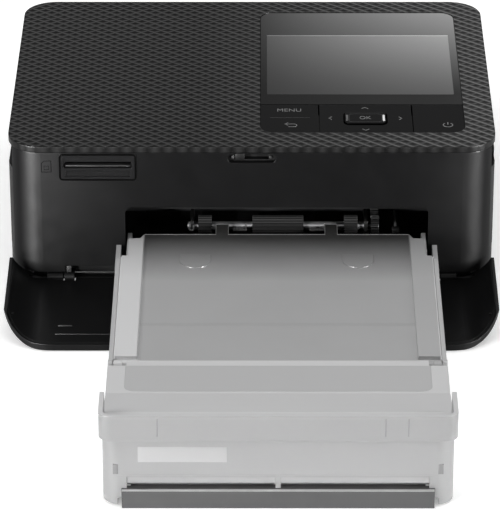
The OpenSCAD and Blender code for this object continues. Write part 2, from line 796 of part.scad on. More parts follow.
module front_cover() color("#131315")
    difference() {
        union() {
            difference() {
                translate([0, hinge_y + wing_back, 0])
                    rotate([90, 0, 0])
                        linear_extrude(cover_reach + wing_back)
                            cover_section();
                // rounded far corners
                difference() {
                    span([left_x - 20, cover_tip_y - cut, -cut],
                         [right_x + 20, cover_tip_y + cover_corner_r, 40]);
                    plate(0, cover_tip_y + 40, -2 * cut, 2 * cover_half + 0.4, 80, 60, cover_corner_r);
                }
                // the wings' upper edges fall towards the far end
                along_x(left_x - 20)
                    linear_extrude(body_w + 40)
                        polygon([
                            [hinge_y + 20, wing_top],
                            [hinge_y + 20, 60],
                            [cover_tip_y - cut, 60],
                            [cover_tip_y - cut, cover_inner_z + wing_front_h]
                        ]);
                // clearance round the casing's corners
                plate(0, 0, skirt_z - 0.5, body_w + 0.8, body_d + 0.8, 60, corner_r + 0.4);
                // round rear edge, which stays above the table as the cover turns
                along_x(left_x - 20)
                    linear_extrude(body_w + 40)
                        difference() {
                            translate([hinge_y, -cut])
                                square([hinge_z + 3, hinge_z + cut]);
                            translate([hinge_y, hinge_z])
                                circle(hinge_z - 0.1);
                        }
                for (x = [knuckle_x[0] + knuckle_w, knuckle_x[1] - bracket_w - 2 * part_gap])
                    span([x, hinge_y - knuckle_r - part_gap, -cut],
                         [x + bracket_w + 2 * part_gap, hinge_y + wing_back + cut, cover_inner_z + cut]);
            }
            for (x = knuckle_x)
                bar_x(x, x + knuckle_w, hinge_y, hinge_z, knuckle_r);
            // hooks for the catch
            for (x = [-hook_w - 1, 1])
                span([x, hinge_y - (catch_z - hinge_z) - 0.9, cover_inner_z - 0.5],
                     [x + hook_w, hinge_y - (catch_z - hinge_z) + 0.9, cover_inner_z + hook_h]);
        }
        bar_x(left_x, right_x, hinge_y, hinge_z, hinge_pin_r + run_fit);
    }

module cover_hinge_pins() color("silver") {
    bar_x(knuckle_x[0] + 0.5, knuckle_x[0] + knuckle_w + part_gap + bracket_w, hinge_y, hinge_z, hinge_pin_r);
    bar_x(knuckle_x[1] - part_gap - bracket_w, knuckle_x[1] + knuckle_w - 0.5, hinge_y, hinge_z, hinge_pin_r);
}

// Ink door ---------------------------------------------------------------------------------------

module ink_door() color("#2c2d30")
    difference() {
        union() {
            span([right_x - wall, door_front + door_gap, door_z],
                 [right_x, door_rear - door_gap, door_top - door_gap]);
            translate([door_x, door_front + door_gap, door_z])
                rotate([-90, 0, 0])
                    cylinder(h = door_rear - door_front - 2 * door_gap, r = door_barrel_r);
            // finger ledge at the upper edge
            span([right_x - wall - 1.4, (door_front + door_rear) / 2 - 12, door_top - 4],
                 [right_x - wall + 0.2, (door_front + door_rear) / 2 + 12, door_top - door_gap - 0.6]);
        }
        translate([door_x, door_front, door_z])
            rotate([-90, 0, 0])
                cylinder(h = 8, r = door_pin_r + run_fit);
        translate([door_x, door_rear - 8, door_z])
            rotate([-90, 0, 0])
                cylinder(h = 8 + cut, r = door_pin_r + run_fit);
    }

module ink_door_pins() color("silver")
    for (y = [door_front - lug_l, door_rear - 7])
        translate([door_x, y, door_z])
            rotate([-90, 0, 0])
                cylinder(h = lug_l + 7, r = door_pin_r);

// Chassis ------------------------------------------------------------------------------------------

base_t = 1;
chassis_front = front_y + 14;
chassis_rear = back_y - 25;
base_holes = 5;
base_hole_w = 14;
base_hole_pitch = 22;
frame_front = front_y + 5;
frame_top = seam_z - 4.2;
bush_r = 4;

module chassis_base() color("#8d9093")
    difference() {
        span([left_frame_x - frame_t, chassis_front, floor_z],
             [right_frame_x + frame_t, chassis_rear, floor_z + base_t]);
        for (k = [0 : base_holes - 1])
            plate(path_x + base_hole_pitch * (k - (base_holes - 1) / 2), (chassis_front + chassis_rear) / 2,
                floor_z - cut, base_hole_w, chassis_rear - chassis_front - 34, base_t + 2 * cut, 3);
    }

// A side frame; its upper edge steps down in front where step_z says so
module frame_blank(x, step_z)
    along_x(x)
        linear_extrude(frame_t)
            polygon([
                [frame_front, 14], [chassis_front + 2, floor_z + base_t],
                [chassis_rear, floor_z + base_t], [chassis_rear, 34],
                [chassis_rear - 12, frame_top], [socket_y0 + 30, frame_top],
                [socket_y0 + 27, step_z], [frame_front + 4, step_z], [frame_front, 38]
            ]);

module frame_bores(x)
    for (b = [[platen_at, bush_r], [feed_at, bush_r], [pinch_at, slim_r + run_fit],
              [pickup_drive_at, slim_r + run_fit]])
        bar_x(x - cut, x + frame_t + cut, b[0][0], b[0][1], b[1]);

// Arm from a side frame to the thermal head
module head_arm(x0, x1)
    span([x0, platen_at[0] - 5, path_z + 1.6], [x1, platen_at[0] + 5, path_z + 4.4]);

stud_r = 1.5;
ink_gap = 0.6;

module left_frame() color("#9a9da0") {
    difference() {
        frame_blank(left_frame_x - frame_t, board_z - 0.6);
        frame_bores(left_frame_x - frame_t);
        bar_x(left_frame_x - frame_t - cut, left_frame_x + cut, takeup_at[0], takeup_at[1], 2 + run_fit);
    }
    for (p = [idler_at, transfer_at])
        bar_x(gear_x0 - 0.3, left_frame_x - frame_t / 2, p[0], p[1], stud_r);
    head_arm(left_frame_x - frame_t / 2, path_x - head_w / 2);
    // rests for the ink cassette
    span([left_frame_x - frame_t / 2, supply_at[0] - 3, supply_at[1] - supply_r - 2.4],
         [ink_left + 5, supply_at[0] + 3, supply_at[1] - supply_r]);
    span([left_frame_x - frame_t / 2, takeup_at[0] - 3, takeup_at[1] - takeup_r - 1.5],
         [ink_left + 5, takeup_at[0] + 3, takeup_at[1] - takeup_r]);
}

// Window in the right frame; the tubes lie on its lower edge
module ink_window(x0, x1) {
    bar_x(x0, x1, supply_at[0], supply_at[1] + ink_gap, supply_r + ink_gap);
    bar_x(x0, x1, takeup_at[0], takeup_at[1] + ink_gap, takeup_r + ink_gap);
    span([x0, supply_at[0], takeup_at[1] - 2], [x1, takeup_at[0], ink_bridge_z + ink_bridge_t + ink_gap]);
}

module right_frame() color("#9a9da0") {
    difference() {
        frame_blank(right_frame_x, frame_top - 0.5);
        frame_bores(right_frame_x);
        ink_window(right_frame_x - cut, right_frame_x + frame_t + cut);
    }
    bar_x(right_frame_x, lever_x + lever_t + 1, lever_at[0], lever_at[1], stud_r);
    head_arm(path_x + head_w / 2, right_frame_x + frame_t / 2);
}

module bush(x, at, r)
    difference() {
        bar_x(x, x + frame_t + 0.6, at[0], at[1], bush_r);
        bar_x(x - cut, x + frame_t + 0.6 + cut, at[0], at[1], r + run_fit);
    }

module shaft_bushes() color("#c9a45c")
    for (x = [left_frame_x - frame_t, right_frame_x - 0.6], at = [platen_at, feed_at])
        bush(x, at, platen_shaft_r);

platen_l = 108;

module platen_shaft() color("silver")
    bar_x(gear_x0, right_frame_x + frame_t + 1, platen_at[0], platen_at[1], platen_shaft_r);

module platen_sleeve() color("#3a3a3c")
    difference() {
        bar_x(path_x - platen_l / 2, path_x + platen_l / 2, platen_at[0], platen_at[1], platen_r);
        bar_x(path_x - platen_l / 2 - cut, path_x + platen_l / 2 + cut, platen_at[0], platen_at[1],
            platen_shaft_r);
    }

module main_gear(at, teeth, bore_r, phase)
    along_x(gear_x0, at[0], at[1])
        gear(teeth, gear_m, gear_w, bore_r, phase);

module platen_gear() color("ivory")
    main_gear(platen_at, platen_teeth, platen_shaft_r, platen_phase);

module feed_roller() color("silver") {
    bar_x(gear_x0, right_frame_x + frame_t + 1, feed_at[0], feed_at[1], platen_shaft_r);
    bar_x(path_x - platen_l / 2, path_x + platen_l / 2, feed_at[0], feed_at[1], feed_r);
}

module feed_gear() color("ivory")
    main_gear(feed_at, feed_teeth, platen_shaft_r, feed_phase);

module feed_idler_gear() color("ivory")
    main_gear(idler_at, idler_teeth, stud_r + run_fit, idler_phase);

module pickup_transfer_gear() color("ivory")
    main_gear(transfer_at, transfer_teeth, stud_r + run_fit, transfer_phase);

module pinch_roller() color("silver") {
    bar_x(left_frame_x - frame_t - 0.3, right_frame_x + frame_t + 0.5, pinch_at[0], pinch_at[1], slim_r);
    bar_x(path_x - platen_l / 2, path_x + platen_l / 2, pinch_at[0], pinch_at[1], pinch_r);
}

motor_boss_l = 2;
motor_gap = 1.55;                          // between the motor and the vent panel
motor_l = bracket_x - left_x - wall - vent_back_t - motor_boss_l - motor_gap;
motor_shaft_r = 1;

module main_motor() color("#6e7175") {
    bar_x(bracket_x - motor_l, bracket_x, motor_at[0], motor_at[1], motor_d / 2);
    bar_x(bracket_x - motor_l - motor_boss_l, bracket_x - motor_l + cut, motor_at[0], motor_at[1], 4);
}

bracket_foot_y = 12;
bracket_foot_w = 5.5;

module motor_bracket() color("#9a9da0") {
    difference() {
        span([bracket_x, motor_at[0] - motor_d / 2 - 2, floor_z],
             [bracket_x + bracket_t, motor_at[0] + bracket_foot_y, motor_at[1] + 9]);
        bar_x(bracket_x - cut, bracket_x + bracket_t + cut, motor_at[0], motor_at[1], 3);
        // room for the take-up gear's own shaft end
        bar_x(bracket_x - cut, bracket_x + bracket_t + cut, takeup_at[0], takeup_at[1], 5);
    }
    span([bracket_x + bracket_t / 2, motor_at[0] + bracket_foot_y - bracket_foot_w, floor_z],
         [left_frame_x - frame_t, motor_at[0] + bracket_foot_y, floor_z + 1]);
}

module motor_pinion() color("#c9a45c")
    union() {
        along_x(gear_x0, motor_at[0], motor_at[1])
            gear(pinion_teeth, gear_m, gear_w, motor_shaft_r / 2, pinion_phase);
        bar_x(bracket_x + 0.4, gear_x1, motor_at[0], motor_at[1], motor_shaft_r);
    }

// Thermal head ----------------------------------------------------------------------------------

head_w = 112;
head_d = 12;
sink_d = 20;

module thermal_head() color("#d8d2c4") {
    span([path_x - head_w / 2, platen_at[0] - head_d / 2, path_z + 0.9],
         [path_x + head_w / 2, platen_at[0] + head_d / 2, path_z + 4.4]);
    // heating line
    span([path_x - paper_w / 2 - 2, platen_at[0] - 1, path_z + 0.3],
         [path_x + paper_w / 2 + 2, platen_at[0] + 1, path_z + 1]);
}

module heat_sink() color("#b4b7ba") {
    difference() {
        span([path_x - head_w / 2 + 4, platen_at[0] - sink_d / 2 + 0.5, path_z + 4.4],
             [path_x + head_w / 2 - 4, platen_at[0] + sink_d / 2 + 0.5, path_z + 20]);
        for (k = [0 : 4])
            span([path_x - head_w / 2, platen_at[0] - sink_d / 2 + 2.6 + 3.6 * k, path_z + 9],
                 [path_x + head_w / 2, platen_at[0] - sink_d / 2 + 4.6 + 3.6 * k, path_z + 20 + cut]);
    }
}

guide_t = 0.6;
guide_z = path_z - 0.9;

module paper_guide() color("#1f2022")
    difference() {
        span([left_frame_x, pickup_at[0] + pickup_r + 0.8, guide_z],
             [right_frame_x, platen_at[0] - platen_r - 1, guide_z + guide_t]);
        bar_x(left_frame_x - cut, right_frame_x + cut, platen_at[0], platen_at[1], platen_r + 0.6);
    }

module rear_paper_guide() color("#1f2022")
    span([left_frame_x, feed_at[0] + feed_r + 2, guide_z],
         [right_frame_x, back_y - wall - 0.3, guide_z + guide_t]);

// Pickup rollers ------------------------------------------------------------------------------------

roller_w = 19.3;
side_roller_w = 5.1;
side_roller_x = 27.6;
rib_count = 22;

module pickup_arms() color("silver") {
    for (x = [arm_left_x, arm_right_x])
        difference() {
            along_x(x)
                linear_extrude(arm_t)
                    polygon([
                        pickup_at + [-2.6, -1.6], pickup_at + [-1.4, -2.6], pickup_drive_at + [5.6, -2.6],
                        pickup_drive_at + [5.6, 2.8], pickup_at + [-2, 2.8], pickup_at + [-2.6, 2]
                    ]);
            for (at = [pickup_at, pickup_drive_at])
                bar_x(x - cut, x + arm_t + cut, at[0], at[1], slim_r + run_fit);
        }
    // cross plate that joins the arms to the side frames
    span([left_frame_x, pickup_drive_at[0] + 4.8, pickup_z - 2.2],
         [right_frame_x, pickup_drive_at[0] + 5.8, pickup_z + 2.6]);
    bar_x(arm_right_x + arm_t / 2, fine_x0 + fine_w + 0.5, pickup_idler_at[0], pickup_idler_at[1], 1.2);
}

module fine_gear(at, bore_r, phase)
    along_x(fine_x0, at[0], at[1])
        gear(fine_teeth, fine_m, fine_w, bore_r, phase);

module pickup_drive_shaft() color("silver") {
    bar_x(gear_x0, right_frame_x + frame_t + 0.5, pickup_drive_at[0], pickup_drive_at[1], slim_r);
    main_gear(pickup_drive_at, drive_teeth, slim_r / 2, drive_phase);
    fine_gear(pickup_drive_at, slim_r / 2, fine_drive_phase);
}

module pickup_idler_gear() color("ivory")
    fine_gear(pickup_idler_at, 1.2 + run_fit, fine_idler_phase);

module pickup_shaft() color("silver") {
    bar_x(arm_left_x - 1, fine_x0 + fine_w, pickup_at[0], pickup_at[1], slim_r);
    fine_gear(pickup_at, slim_r / 2, pickup_phase);
}

module ribbed_roller(x, w)
    along_x(x - w / 2, pickup_at[0], pickup_at[1])
        difference() {
            linear_extrude(w)
                polygon([for (i = [0 : 2 * rib_count - 1])
                    let (rr = i % 2 == 0 ? pickup_r : pickup_r - 0.45)
                    rr * [cos(i * 180 / rib_count), sin(i * 180 / rib_count)]]);
            translate([0, 0, -cut])
                cylinder(h = w + 2 * cut, r = slim_r);
        }

module pickup_rollers() color("#4a4a4c") {
    ribbed_roller(path_x + 0.5, roller_w);
    for (side = [-1, 1])
        ribbed_roller(path_x + 0.5 + side * side_roller_x, side_roller_w);
}

// Ink cassette -----------------------------------------------------------------------------------------

ink_left = left_frame_x + 3;
ink_right = right_frame_x + frame_t;
supply_r = 9.5;
takeup_r = 8.5;
tube_wall = 1.2;
ink_bridge_z = supply_at[1] + supply_r - 0.3;
ink_bridge_t = 3;
bridge_w = 8;
journal_r = 2;

module ink_tube(at, r, slit_dir)
    difference() {
        union() {
            bar_x(ink_left, ink_right, at[0], at[1], r);
            children();
        }
        bar_x(ink_left + 3, ink_right - 3, at[0], at[1], r - tube_wall);
        bar_x(ink_left - cut, ink_right + cut, at[0], at[1], journal_r + run_fit);
        // slit that the film comes out of
        span([path_x - paper_w / 2 - 3, at[0] + (slit_dir > 0 ? 0 : -r), at[1] - r - cut],
             [path_x + paper_w / 2 + 3, at[0] + (slit_dir > 0 ? r : 0), at[1] - r * 0.75]);
    }

module ink_cassette() color("#e4e2dc") {
    ink_tube(supply_at, supply_r, 1);
    // the take-up tube carries the bridges that join it to the other one
    ink_tube(takeup_at, takeup_r, -1)
        for (x = [ink_left, ink_right - bridge_w])
            span([x, supply_at[0], ink_bridge_z], [x + bridge_w, takeup_at[0], ink_bridge_z + ink_bridge_t]);
}

module spool(at, r, film_r) {
    bar_x(ink_left + 0.3, ink_right - 0.3, at[0], at[1], journal_r);
    bar_x(ink_left + 4, ink_right - 4, at[0], at[1], 3);
    bar_x(path_x - paper_w / 2 - 1, path_x + paper_w / 2 + 1, at[0], at[1], film_r);
    for (x = [ink_left + 4, ink_right - 5.5])
        bar_x(x, x + 1.5, at[0], at[1], r - tube_wall - 0.6);
}

module supply_spool() color("#3b4a63")
    spool(supply_at, supply_r, supply_r * 0.57);

module takeup_spool() color("#3b4a63")
    difference() {
        spool(takeup_at, takeup_r, 4);
        // square socket for the driver
        along_x(ink_left, takeup_at[0], takeup_at[1])
            linear_extrude(3.2)
                square(2, center = true);
    }

module takeup_drive_gear() color("ivory") {
    main_gear(takeup_at, takeup_teeth, 1, takeup_phase);
    bar_x(gear_x0 - 0.3, ink_left - 0.4, takeup_at[0], takeup_at[1], 2);
    // square driver
    along_x(ink_left - 1, takeup_at[0], takeup_at[1])
        linear_extrude(4)
            square(1.8, center = true);
}

lever_x = right_frame_x + frame_t + 0.4;
lever_t = 2;
lever_l = 10.5;
lever_at = [supply_at[0] - supply_r - 4.5, supply_at[1] - 6];

module ink_release_lever() color("#b9bbbd")
    difference() {
        union() {
            bar_x(lever_x, lever_x + lever_t, lever_at[0], lever_at[1], 3.2);
            span([lever_x, lever_at[0] - 2, lever_at[1]],
                 [lever_x + lever_t, lever_at[0] + 2, lever_at[1] + lever_l]);
            // tab that holds the ink cassette in
            span([lever_x, lever_at[0] - 2, lever_at[1] + lever_l - 3.5],
                 [lever_x + lever_t, lever_at[0] + 7.5, lever_at[1] + lever_l]);
            // grip
            span([lever_x, lever_at[0] - 2, lever_at[1] + lever_l - 3.5],
                 [lever_x + 6, lever_at[0] + 2, lever_at[1] + lever_l]);
        }
        bar_x(lever_x - cut, lever_x + lever_t + cut, lever_at[0], lever_at[1], stud_r + run_fit);
    }

// Paper cassette ------------------------------------------------------------------------------------------

tray_front = front_y - tray_reach;
nose_y = front_y + nose_in;
ear_y = front_y - 16.8;                    // where the ears leave the tray
ear_end = front_y - 0.7;
ear_w = 1.8;
ear_top = 17;
half_tray = tray_w / 2;
half_nose = nose_w / 2;
ear_out = half_tray + 0.55;
bar_low = 0.1;                             // gap under the foot bar
tray_low = 0.6;                            // lower edge of the tray in front of the cover
nose_low = 4.8;                            // lower edge over the open cover
tray_step_y = cover_tip_y - 2;             // where the lower edge rises over the cover
tray_floor_z = 6.8;
tray_corner_r = 6;
front_block = 18;                          // depth of the tall front part
front_top = lip_bottom - 0.4;
front_wall_y = tray_front + 1.7;
lid_y = front_y - lid_hinge_out;
lid_z = tray_top + 0.3;
lid_pin_r = 1;
lid_knuckle_r = 1.8;
lid_knuckle_w = 3;
inner_top = tray_top - 0.9;                // upper face of the inner cover's middle

module tray_side(side) {
    x = side < 0 ? path_x - half_tray : path_x + half_tray - tray_wall;
    difference() {
        union() {
            along_x(x)
                linear_extrude(tray_wall)
                    polygon([
                        [front_wall_y + tray_corner_r, tray_low], [tray_step_y, tray_low],
                        [tray_step_y + 4, nose_low], [ear_y, nose_low], [ear_y, tray_top - 2],
                        [ear_y - 4, tray_top], [tray_front + lip_side + 13, tray_top],
                        [tray_front + lip_side - 3, front_top], [front_wall_y + tray_corner_r, front_top]
                    ]);
            bar_x(x, x + tray_wall, lid_y, lid_z, lid_knuckle_r + 0.3);
        }
        bar_x(x - cut, x + tray_wall + cut, lid_y, lid_z, lid_pin_r);
    }
}

module nose_side(side) {
    x = side < 0 ? path_x - half_nose : path_x + half_nose - tray_wall;
    along_x(x)
        linear_extrude(tray_wall)
            polygon([
                [ear_y - 1.6, nose_low], [nose_y - 2, nose_low], [nose_y, nose_low + 2],
                [nose_y, 14], [nose_y - 4, inner_top - 2], [ear_y - 1.6, inner_top - 2]
            ]);
}

module cassette_base() color("#b9bcbe", 0.6) {
    for (side = [-1, 1]) {
        tray_side(side);
        nose_side(side);
        // cross wall and ear
        span([path_x + (side < 0 ? -half_tray : half_nose - tray_wall), ear_y - 1.6, nose_low],
             [path_x + (side < 0 ? tray_wall - half_nose : half_tray), ear_y, ear_top]);
        span([path_x + (side < 0 ? -ear_out : ear_out - ear_w), ear_y - 4, nose_low + 1.2],
             [path_x + (side < 0 ? ear_w - ear_out : ear_out), ear_end, ear_top]);
    }
    // floor
    span([path_x - half_tray + tray_wall / 2, front_wall_y + 3, tray_floor_z],
         [path_x + half_tray - tray_wall / 2, ear_y - 0.8, tray_floor_z + tray_wall]);
    span([path_x - half_nose + tray_wall / 2, ear_y - 1, tray_floor_z],
         [path_x + half_nose - tray_wall / 2, nose_y - 2, tray_floor_z + tray_wall]);
    // front wall with the slot above the foot bar
    difference() {
        translate([path_x, front_wall_y + tray_corner_r, tray_low])
            linear_extrude(front_top - tray_low)
                difference() {
                    rounded_rect(tray_w, 2 * tray_corner_r, tray_corner_r - 0.01);
                    rounded_rect(tray_w - 2 * tray_wall, 2 * (tray_corner_r - tray_wall),
                        tray_corner_r - tray_wall - 0.01);
                    translate([-tray_w, 0])
                        square([2 * tray_w, 3 * tray_corner_r]);
                }
        span([path_x - bar_w / 2, tray_front - cut, tray_low - cut],
             [path_x + bar_w / 2, front_wall_y + tray_wall + 1, bar_h]);
        for (side = [-1, 1]) {
            // slot and shallow recess above the bar
            span([path_x + (side < 0 ? 1.85 - bar_w / 2 : 0.9), tray_front - cut, bar_h - cut / 2],
                 [path_x + (side < 0 ? -0.9 : bar_w / 2 - 1.85), front_wall_y + tray_wall + 1, bar_h + 1.8]);
            span([path_x + (side < 0 ? 1.85 - bar_w / 2 : 0.9), tray_front - cut, bar_h - cut / 2],
                 [path_x + (side < 0 ? -0.9 : bar_w / 2 - 1.85), front_wall_y + 0.8, bar_h + 4.2]);
            // small notch beside the bar
            span([path_x + (side < 0 ? -bar_w / 2 - 1.3 : 0), tray_front - cut, tray_low - cut],
                 [path_x + (side < 0 ? 0 : bar_w / 2 + 1.3), front_wall_y + tray_wall + 1, 3.1]);
        }
    }
    // shelf under the front part
    span([path_x - half_tray + tray_wall / 2, tray_front + front_block - tray_wall, tray_floor_z],
         [path_x + half_tray - tray_wall / 2, tray_front + front_block, tray_top - 2]);
}

module cassette_foot() color("#6a6b6d")
    difference() {
        union() {
            span([path_x - bar_w / 2, tray_front, bar_low],
                 [path_x + bar_w / 2, front_wall_y + tray_wall, bar_h]);
            span([path_x - bar_w / 2 + 3, tray_front + 2, bar_low],
                 [path_x + bar_w / 2 - 3, tray_front + 10, tray_floor_z]);
        }
        span([path_x - bar_w / 2 + 4.6, front_wall_y + tray_wall, bar_low - cut],
             [path_x + bar_w / 2 - 4.6, tray_front + 8.6, tray_floor_z - 1.6]);
    }

knuckle_out = half_tray - tray_wall - 0.4; // outer end of the inner cover's knuckle
half_ridge = knuckle_out - lid_knuckle_w - 1.6;
pin_end = half_ridge - 3.2;                // inner end of a hinge pin

module lid_hinge_pins() color("silver")
    for (side = [-1, 1])
        bar_x(path_x + (side < 0 ? 0.3 - half_tray : pin_end),
            path_x + (side < 0 ? -pin_end : half_tray - 0.3), lid_y, lid_z, lid_pin_r);

inner_rear = front_y + 1;
inner_start = lid_y + lid_knuckle_r + 0.6;
half_lid = half_nose - 0.8;                // within the nose
half_wide = half_tray - tray_wall - 0.5;   // between the tray's sides
half_mid = paper_w / 2 - 0.3;
lid_t = 1.4;
band_rise = 1.4;
tab_x = 20.5;
rear_step = inner_rear - 3.2;              // where the parts beside the middle end
rear_cut = 2.4;
mark_x = 30.2;
mark_y = front_y - 20.5;
mark_r = 5.7;
mark_l = 4.7;

module inner_cover() color("#a9acae", 0.7)
    difference() {
        union() {
            // recessed middle, on which the prints lie
            translate([path_x, 0, inner_top - lid_t])
                linear_extrude(lid_t)
                    polygon([
                        [-half_lid, inner_start], [-half_lid, rear_step - rear_cut],
                        [-half_lid + rear_cut, rear_step], [-half_mid - 1.5, rear_step],
                        [-half_mid, inner_rear], [half_mid, inner_rear],
                        [half_mid + 1.5, rear_step], [half_lid - rear_cut, rear_step],
                        [half_lid, rear_step - rear_cut], [half_lid, inner_start]
                    ]);
            for (side = [-1, 1]) {
                span([side < 0 ? path_x - half_wide : path_x + half_mid, inner_start + 4, inner_top - lid_t],
                     [side < 0 ? path_x - half_mid : path_x + half_wide, ear_y - 2, inner_top + band_rise]);
                span([side < 0 ? path_x - half_lid : path_x + half_mid, ear_y - 3, inner_top - lid_t],
                     [side < 0 ? path_x - half_mid : path_x + half_lid, inner_rear - 6,
                     inner_top + band_rise]);
                span([path_x + side * tab_x - 2.5, inner_rear - 2, inner_top - lid_t + 0.2],
                     [path_x + side * tab_x + 2.5, inner_rear + 8.2, inner_top]);
                // knuckle and its arm
                bar_x(path_x + (side < 0 ? -knuckle_out : knuckle_out - lid_knuckle_w),
                    path_x + (side < 0 ? lid_knuckle_w - knuckle_out : knuckle_out),
                    lid_y, lid_z, lid_knuckle_r);
                span([path_x + (side < 0 ? -knuckle_out : knuckle_out - lid_knuckle_w),
                      lid_y, inner_top - lid_t],
                     [path_x + (side < 0 ? lid_knuckle_w - knuckle_out : knuckle_out), lid_y + 9, inner_top]);
                // finger mark, round at its front end
                translate([path_x + side * mark_x, mark_y, inner_top - 0.5])
                    linear_extrude(0.8)
                        intersection() {
                            union() {
                                circle(mark_r);
                                translate([-mark_r, 0])
                                    square([2 * mark_r, 2 * mark_r]);
                            }
                            translate([-2 * mark_r, -2 * mark_r])
                                square([4 * mark_r, 2 * mark_r + mark_l]);
                        }
            }
        }
        bar_x(path_x - half_tray, path_x + half_tray, lid_y, lid_z, lid_pin_r + run_fit);
    }

outer_y = lid_y - lid_knuckle_r - 1.2;     // rear edge of the outer cover's plate
outer_z = tray_top + 0.4;
outer_t = 1.6;
ramp_y = tray_front + lip_side + 20.7;       // where the plate starts to rise to the lip

module outer_cover() color("#c3c6c8", 0.6)
    difference() {
        union() {
            // plate that rises from the hinge line to the lip
            along_x(path_x - half_tray)
                linear_extrude(tray_w)
                    polygon([
                        [outer_y, outer_z], [outer_y, outer_z + outer_t], [ramp_y, outer_z + outer_t],
                        [tray_front + lip_side, lip_bottom + outer_t], [tray_front + 2, lip_bottom + outer_t],
                        [tray_front + 2, lip_bottom], [tray_front + lip_side, lip_bottom], [ramp_y, outer_z]
                    ]);
            // U-shaped lip
            intersection() {
                difference() {
                    plate(path_x, tray_front + 30, lip_bottom, lip_w, 60, lip_top - lip_bottom, 4);
                    plate(path_x, tray_front + 30, lip_bottom + outer_t, lip_w - 2 * tray_wall,
                        60 - 2 * tray_wall, 20, 4 - tray_wall);
                }
                span([path_x - lip_w, tray_front - cut, lip_bottom - cut],
                     [path_x + lip_w, tray_front + lip_side, lip_top + cut]);
            }
            // ridge along the hinge line
            bar_x(path_x - half_ridge, path_x + half_ridge, lid_y, lid_z, lid_knuckle_r);
            along_x(path_x - half_ridge)
                linear_extrude(2 * half_ridge)
                    polygon([
                        [lid_y, lid_z - 1.2], [lid_y, lid_z + lid_knuckle_r - 0.1],
                        [outer_y - 3, outer_z + outer_t], [outer_y - 3, outer_z]
                    ]);
        }
        for (side = [-1, 1])
            bar_x(path_x + (side < 0 ? -half_tray : pin_end - 0.3),
                path_x + (side < 0 ? 0.3 - pin_end : half_tray), lid_y, lid_z, lid_pin_r + run_fit);
    }

// Draw the node that is asked for -------------------------------------------------------------

bottom_case();
rubber_feet();
case_screws();
front_casing();
rear_cover();
top_cover();
left_side_panel();
battery_cover();
panel_tray();
display_window();
lcd_module();
key_board();
menu_key();
pad_key();
ok_key();
power_key();
card_slot_bezel();
card_socket();
cover_catch();
cover_hinge_pins();
front_cover();
ink_door();
ink_door_pins();
chassis_base();
left_frame();
right_frame();
shaft_bushes();
platen_shaft();
platen_sleeve();
platen_gear();
feed_roller();
feed_gear();
feed_idler_gear();
pinch_roller();
main_motor();
motor_bracket();
motor_pinion();
thermal_head();
heat_sink();
paper_guide();
rear_paper_guide();
pickup_arms();
pickup_drive_shaft();
pickup_transfer_gear();
pickup_idler_gear();
pickup_shaft();
pickup_rollers();
takeup_drive_gear();
ink_cassette();
supply_spool();
takeup_spool();
ink_release_lever();
main_board();
power_inlet();
data_socket();
cassette_base();
cassette_foot();
lid_hinge_pins();
inner_cover();
outer_cover();
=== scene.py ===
"""Looks for a compact photo printer: plastics, control panel, lattice top and cassette details."""

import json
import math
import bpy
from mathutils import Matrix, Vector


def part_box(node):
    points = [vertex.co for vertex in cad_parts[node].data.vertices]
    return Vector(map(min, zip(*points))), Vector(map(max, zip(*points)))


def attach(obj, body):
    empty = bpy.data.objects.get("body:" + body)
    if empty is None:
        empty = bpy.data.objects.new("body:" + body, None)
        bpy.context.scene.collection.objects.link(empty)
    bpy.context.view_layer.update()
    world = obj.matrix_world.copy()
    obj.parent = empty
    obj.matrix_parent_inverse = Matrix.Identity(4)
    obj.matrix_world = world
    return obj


bl_info = {
    "name": "Compact photo printer",
    "version": (1, 0, 0),
    "blender": (4, 5, 0),
    "location": "View3D > Sidebar > Printer",
    "description": "Dresses the packed printer with its finishes and fine details",
    "category": "Object",
}

import bmesh
import bpy
from bpy.props import FloatProperty, FloatVectorProperty, PointerProperty
from mathutils import Matrix, Vector

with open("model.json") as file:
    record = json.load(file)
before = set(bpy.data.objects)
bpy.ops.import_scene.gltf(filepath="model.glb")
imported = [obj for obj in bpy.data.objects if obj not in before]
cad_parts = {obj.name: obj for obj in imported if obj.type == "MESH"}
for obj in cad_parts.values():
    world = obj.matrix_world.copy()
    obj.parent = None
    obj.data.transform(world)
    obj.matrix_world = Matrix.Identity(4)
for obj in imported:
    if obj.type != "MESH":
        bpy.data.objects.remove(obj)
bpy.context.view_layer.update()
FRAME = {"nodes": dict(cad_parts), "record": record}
MM = 0.001


def limits(node):
    """The node's low and high corners in millimetres."""
    low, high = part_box(node)
    return Vector(low) / MM, Vector(high) / MM


def grey(level):
    """A colour without hue."""
    return (level, level, level)


PANEL_LOW, PANEL_HIGH = limits("display_window")
KEY_HIGH = limits("pad_key")[1]
OK_LOW, OK_HIGH = limits("ok_key")
MENU_LOW, MENU_HIGH = limits("menu_key")
POWER_LOW, POWER_HIGH = limits("power_key")
LCD_LOW, LCD_HIGH = limits("lcd_module")
BEZEL_LOW, BEZEL_HIGH = limits("card_slot_bezel")
COVER_LOW, COVER_HIGH = limits("front_cover")
INNER_HIGH = limits("inner_cover")[1]
OUTER_LOW = limits("outer_cover")[0]
TRAY_LOW = limits("cassette_base")[0]
FOOT_LOW, FOOT_HIGH = limits("cassette_foot")
FACE_Y = BEZEL_LOW.y + 0.35                 # front face of the casing
PATH_X = (FOOT_LOW.x + FOOT_HIGH.x) / 2     # middle of the cassette
MIDDLE_Z = 20.6         # upper face of the inner cover's middle
MIDDLE_HALF = 49.5      # half the width of that middle
INNER_GAP = 57.6        # from the cassette's middle to the gap beside the inner cover
OUTER_Z = 23.5          # upper face of the outer cover's flat part
CASING_HALF = 91.0      # half the width of the casing, to the millimetre
CORNER_X = 78.6         # centre of the casing's rounded front corner, to the side
CORNER_Y = -54.0        # and to the front
CORNER_RADIUS = 12.5
SIDES = ((-1, "left"), (1, "right"))

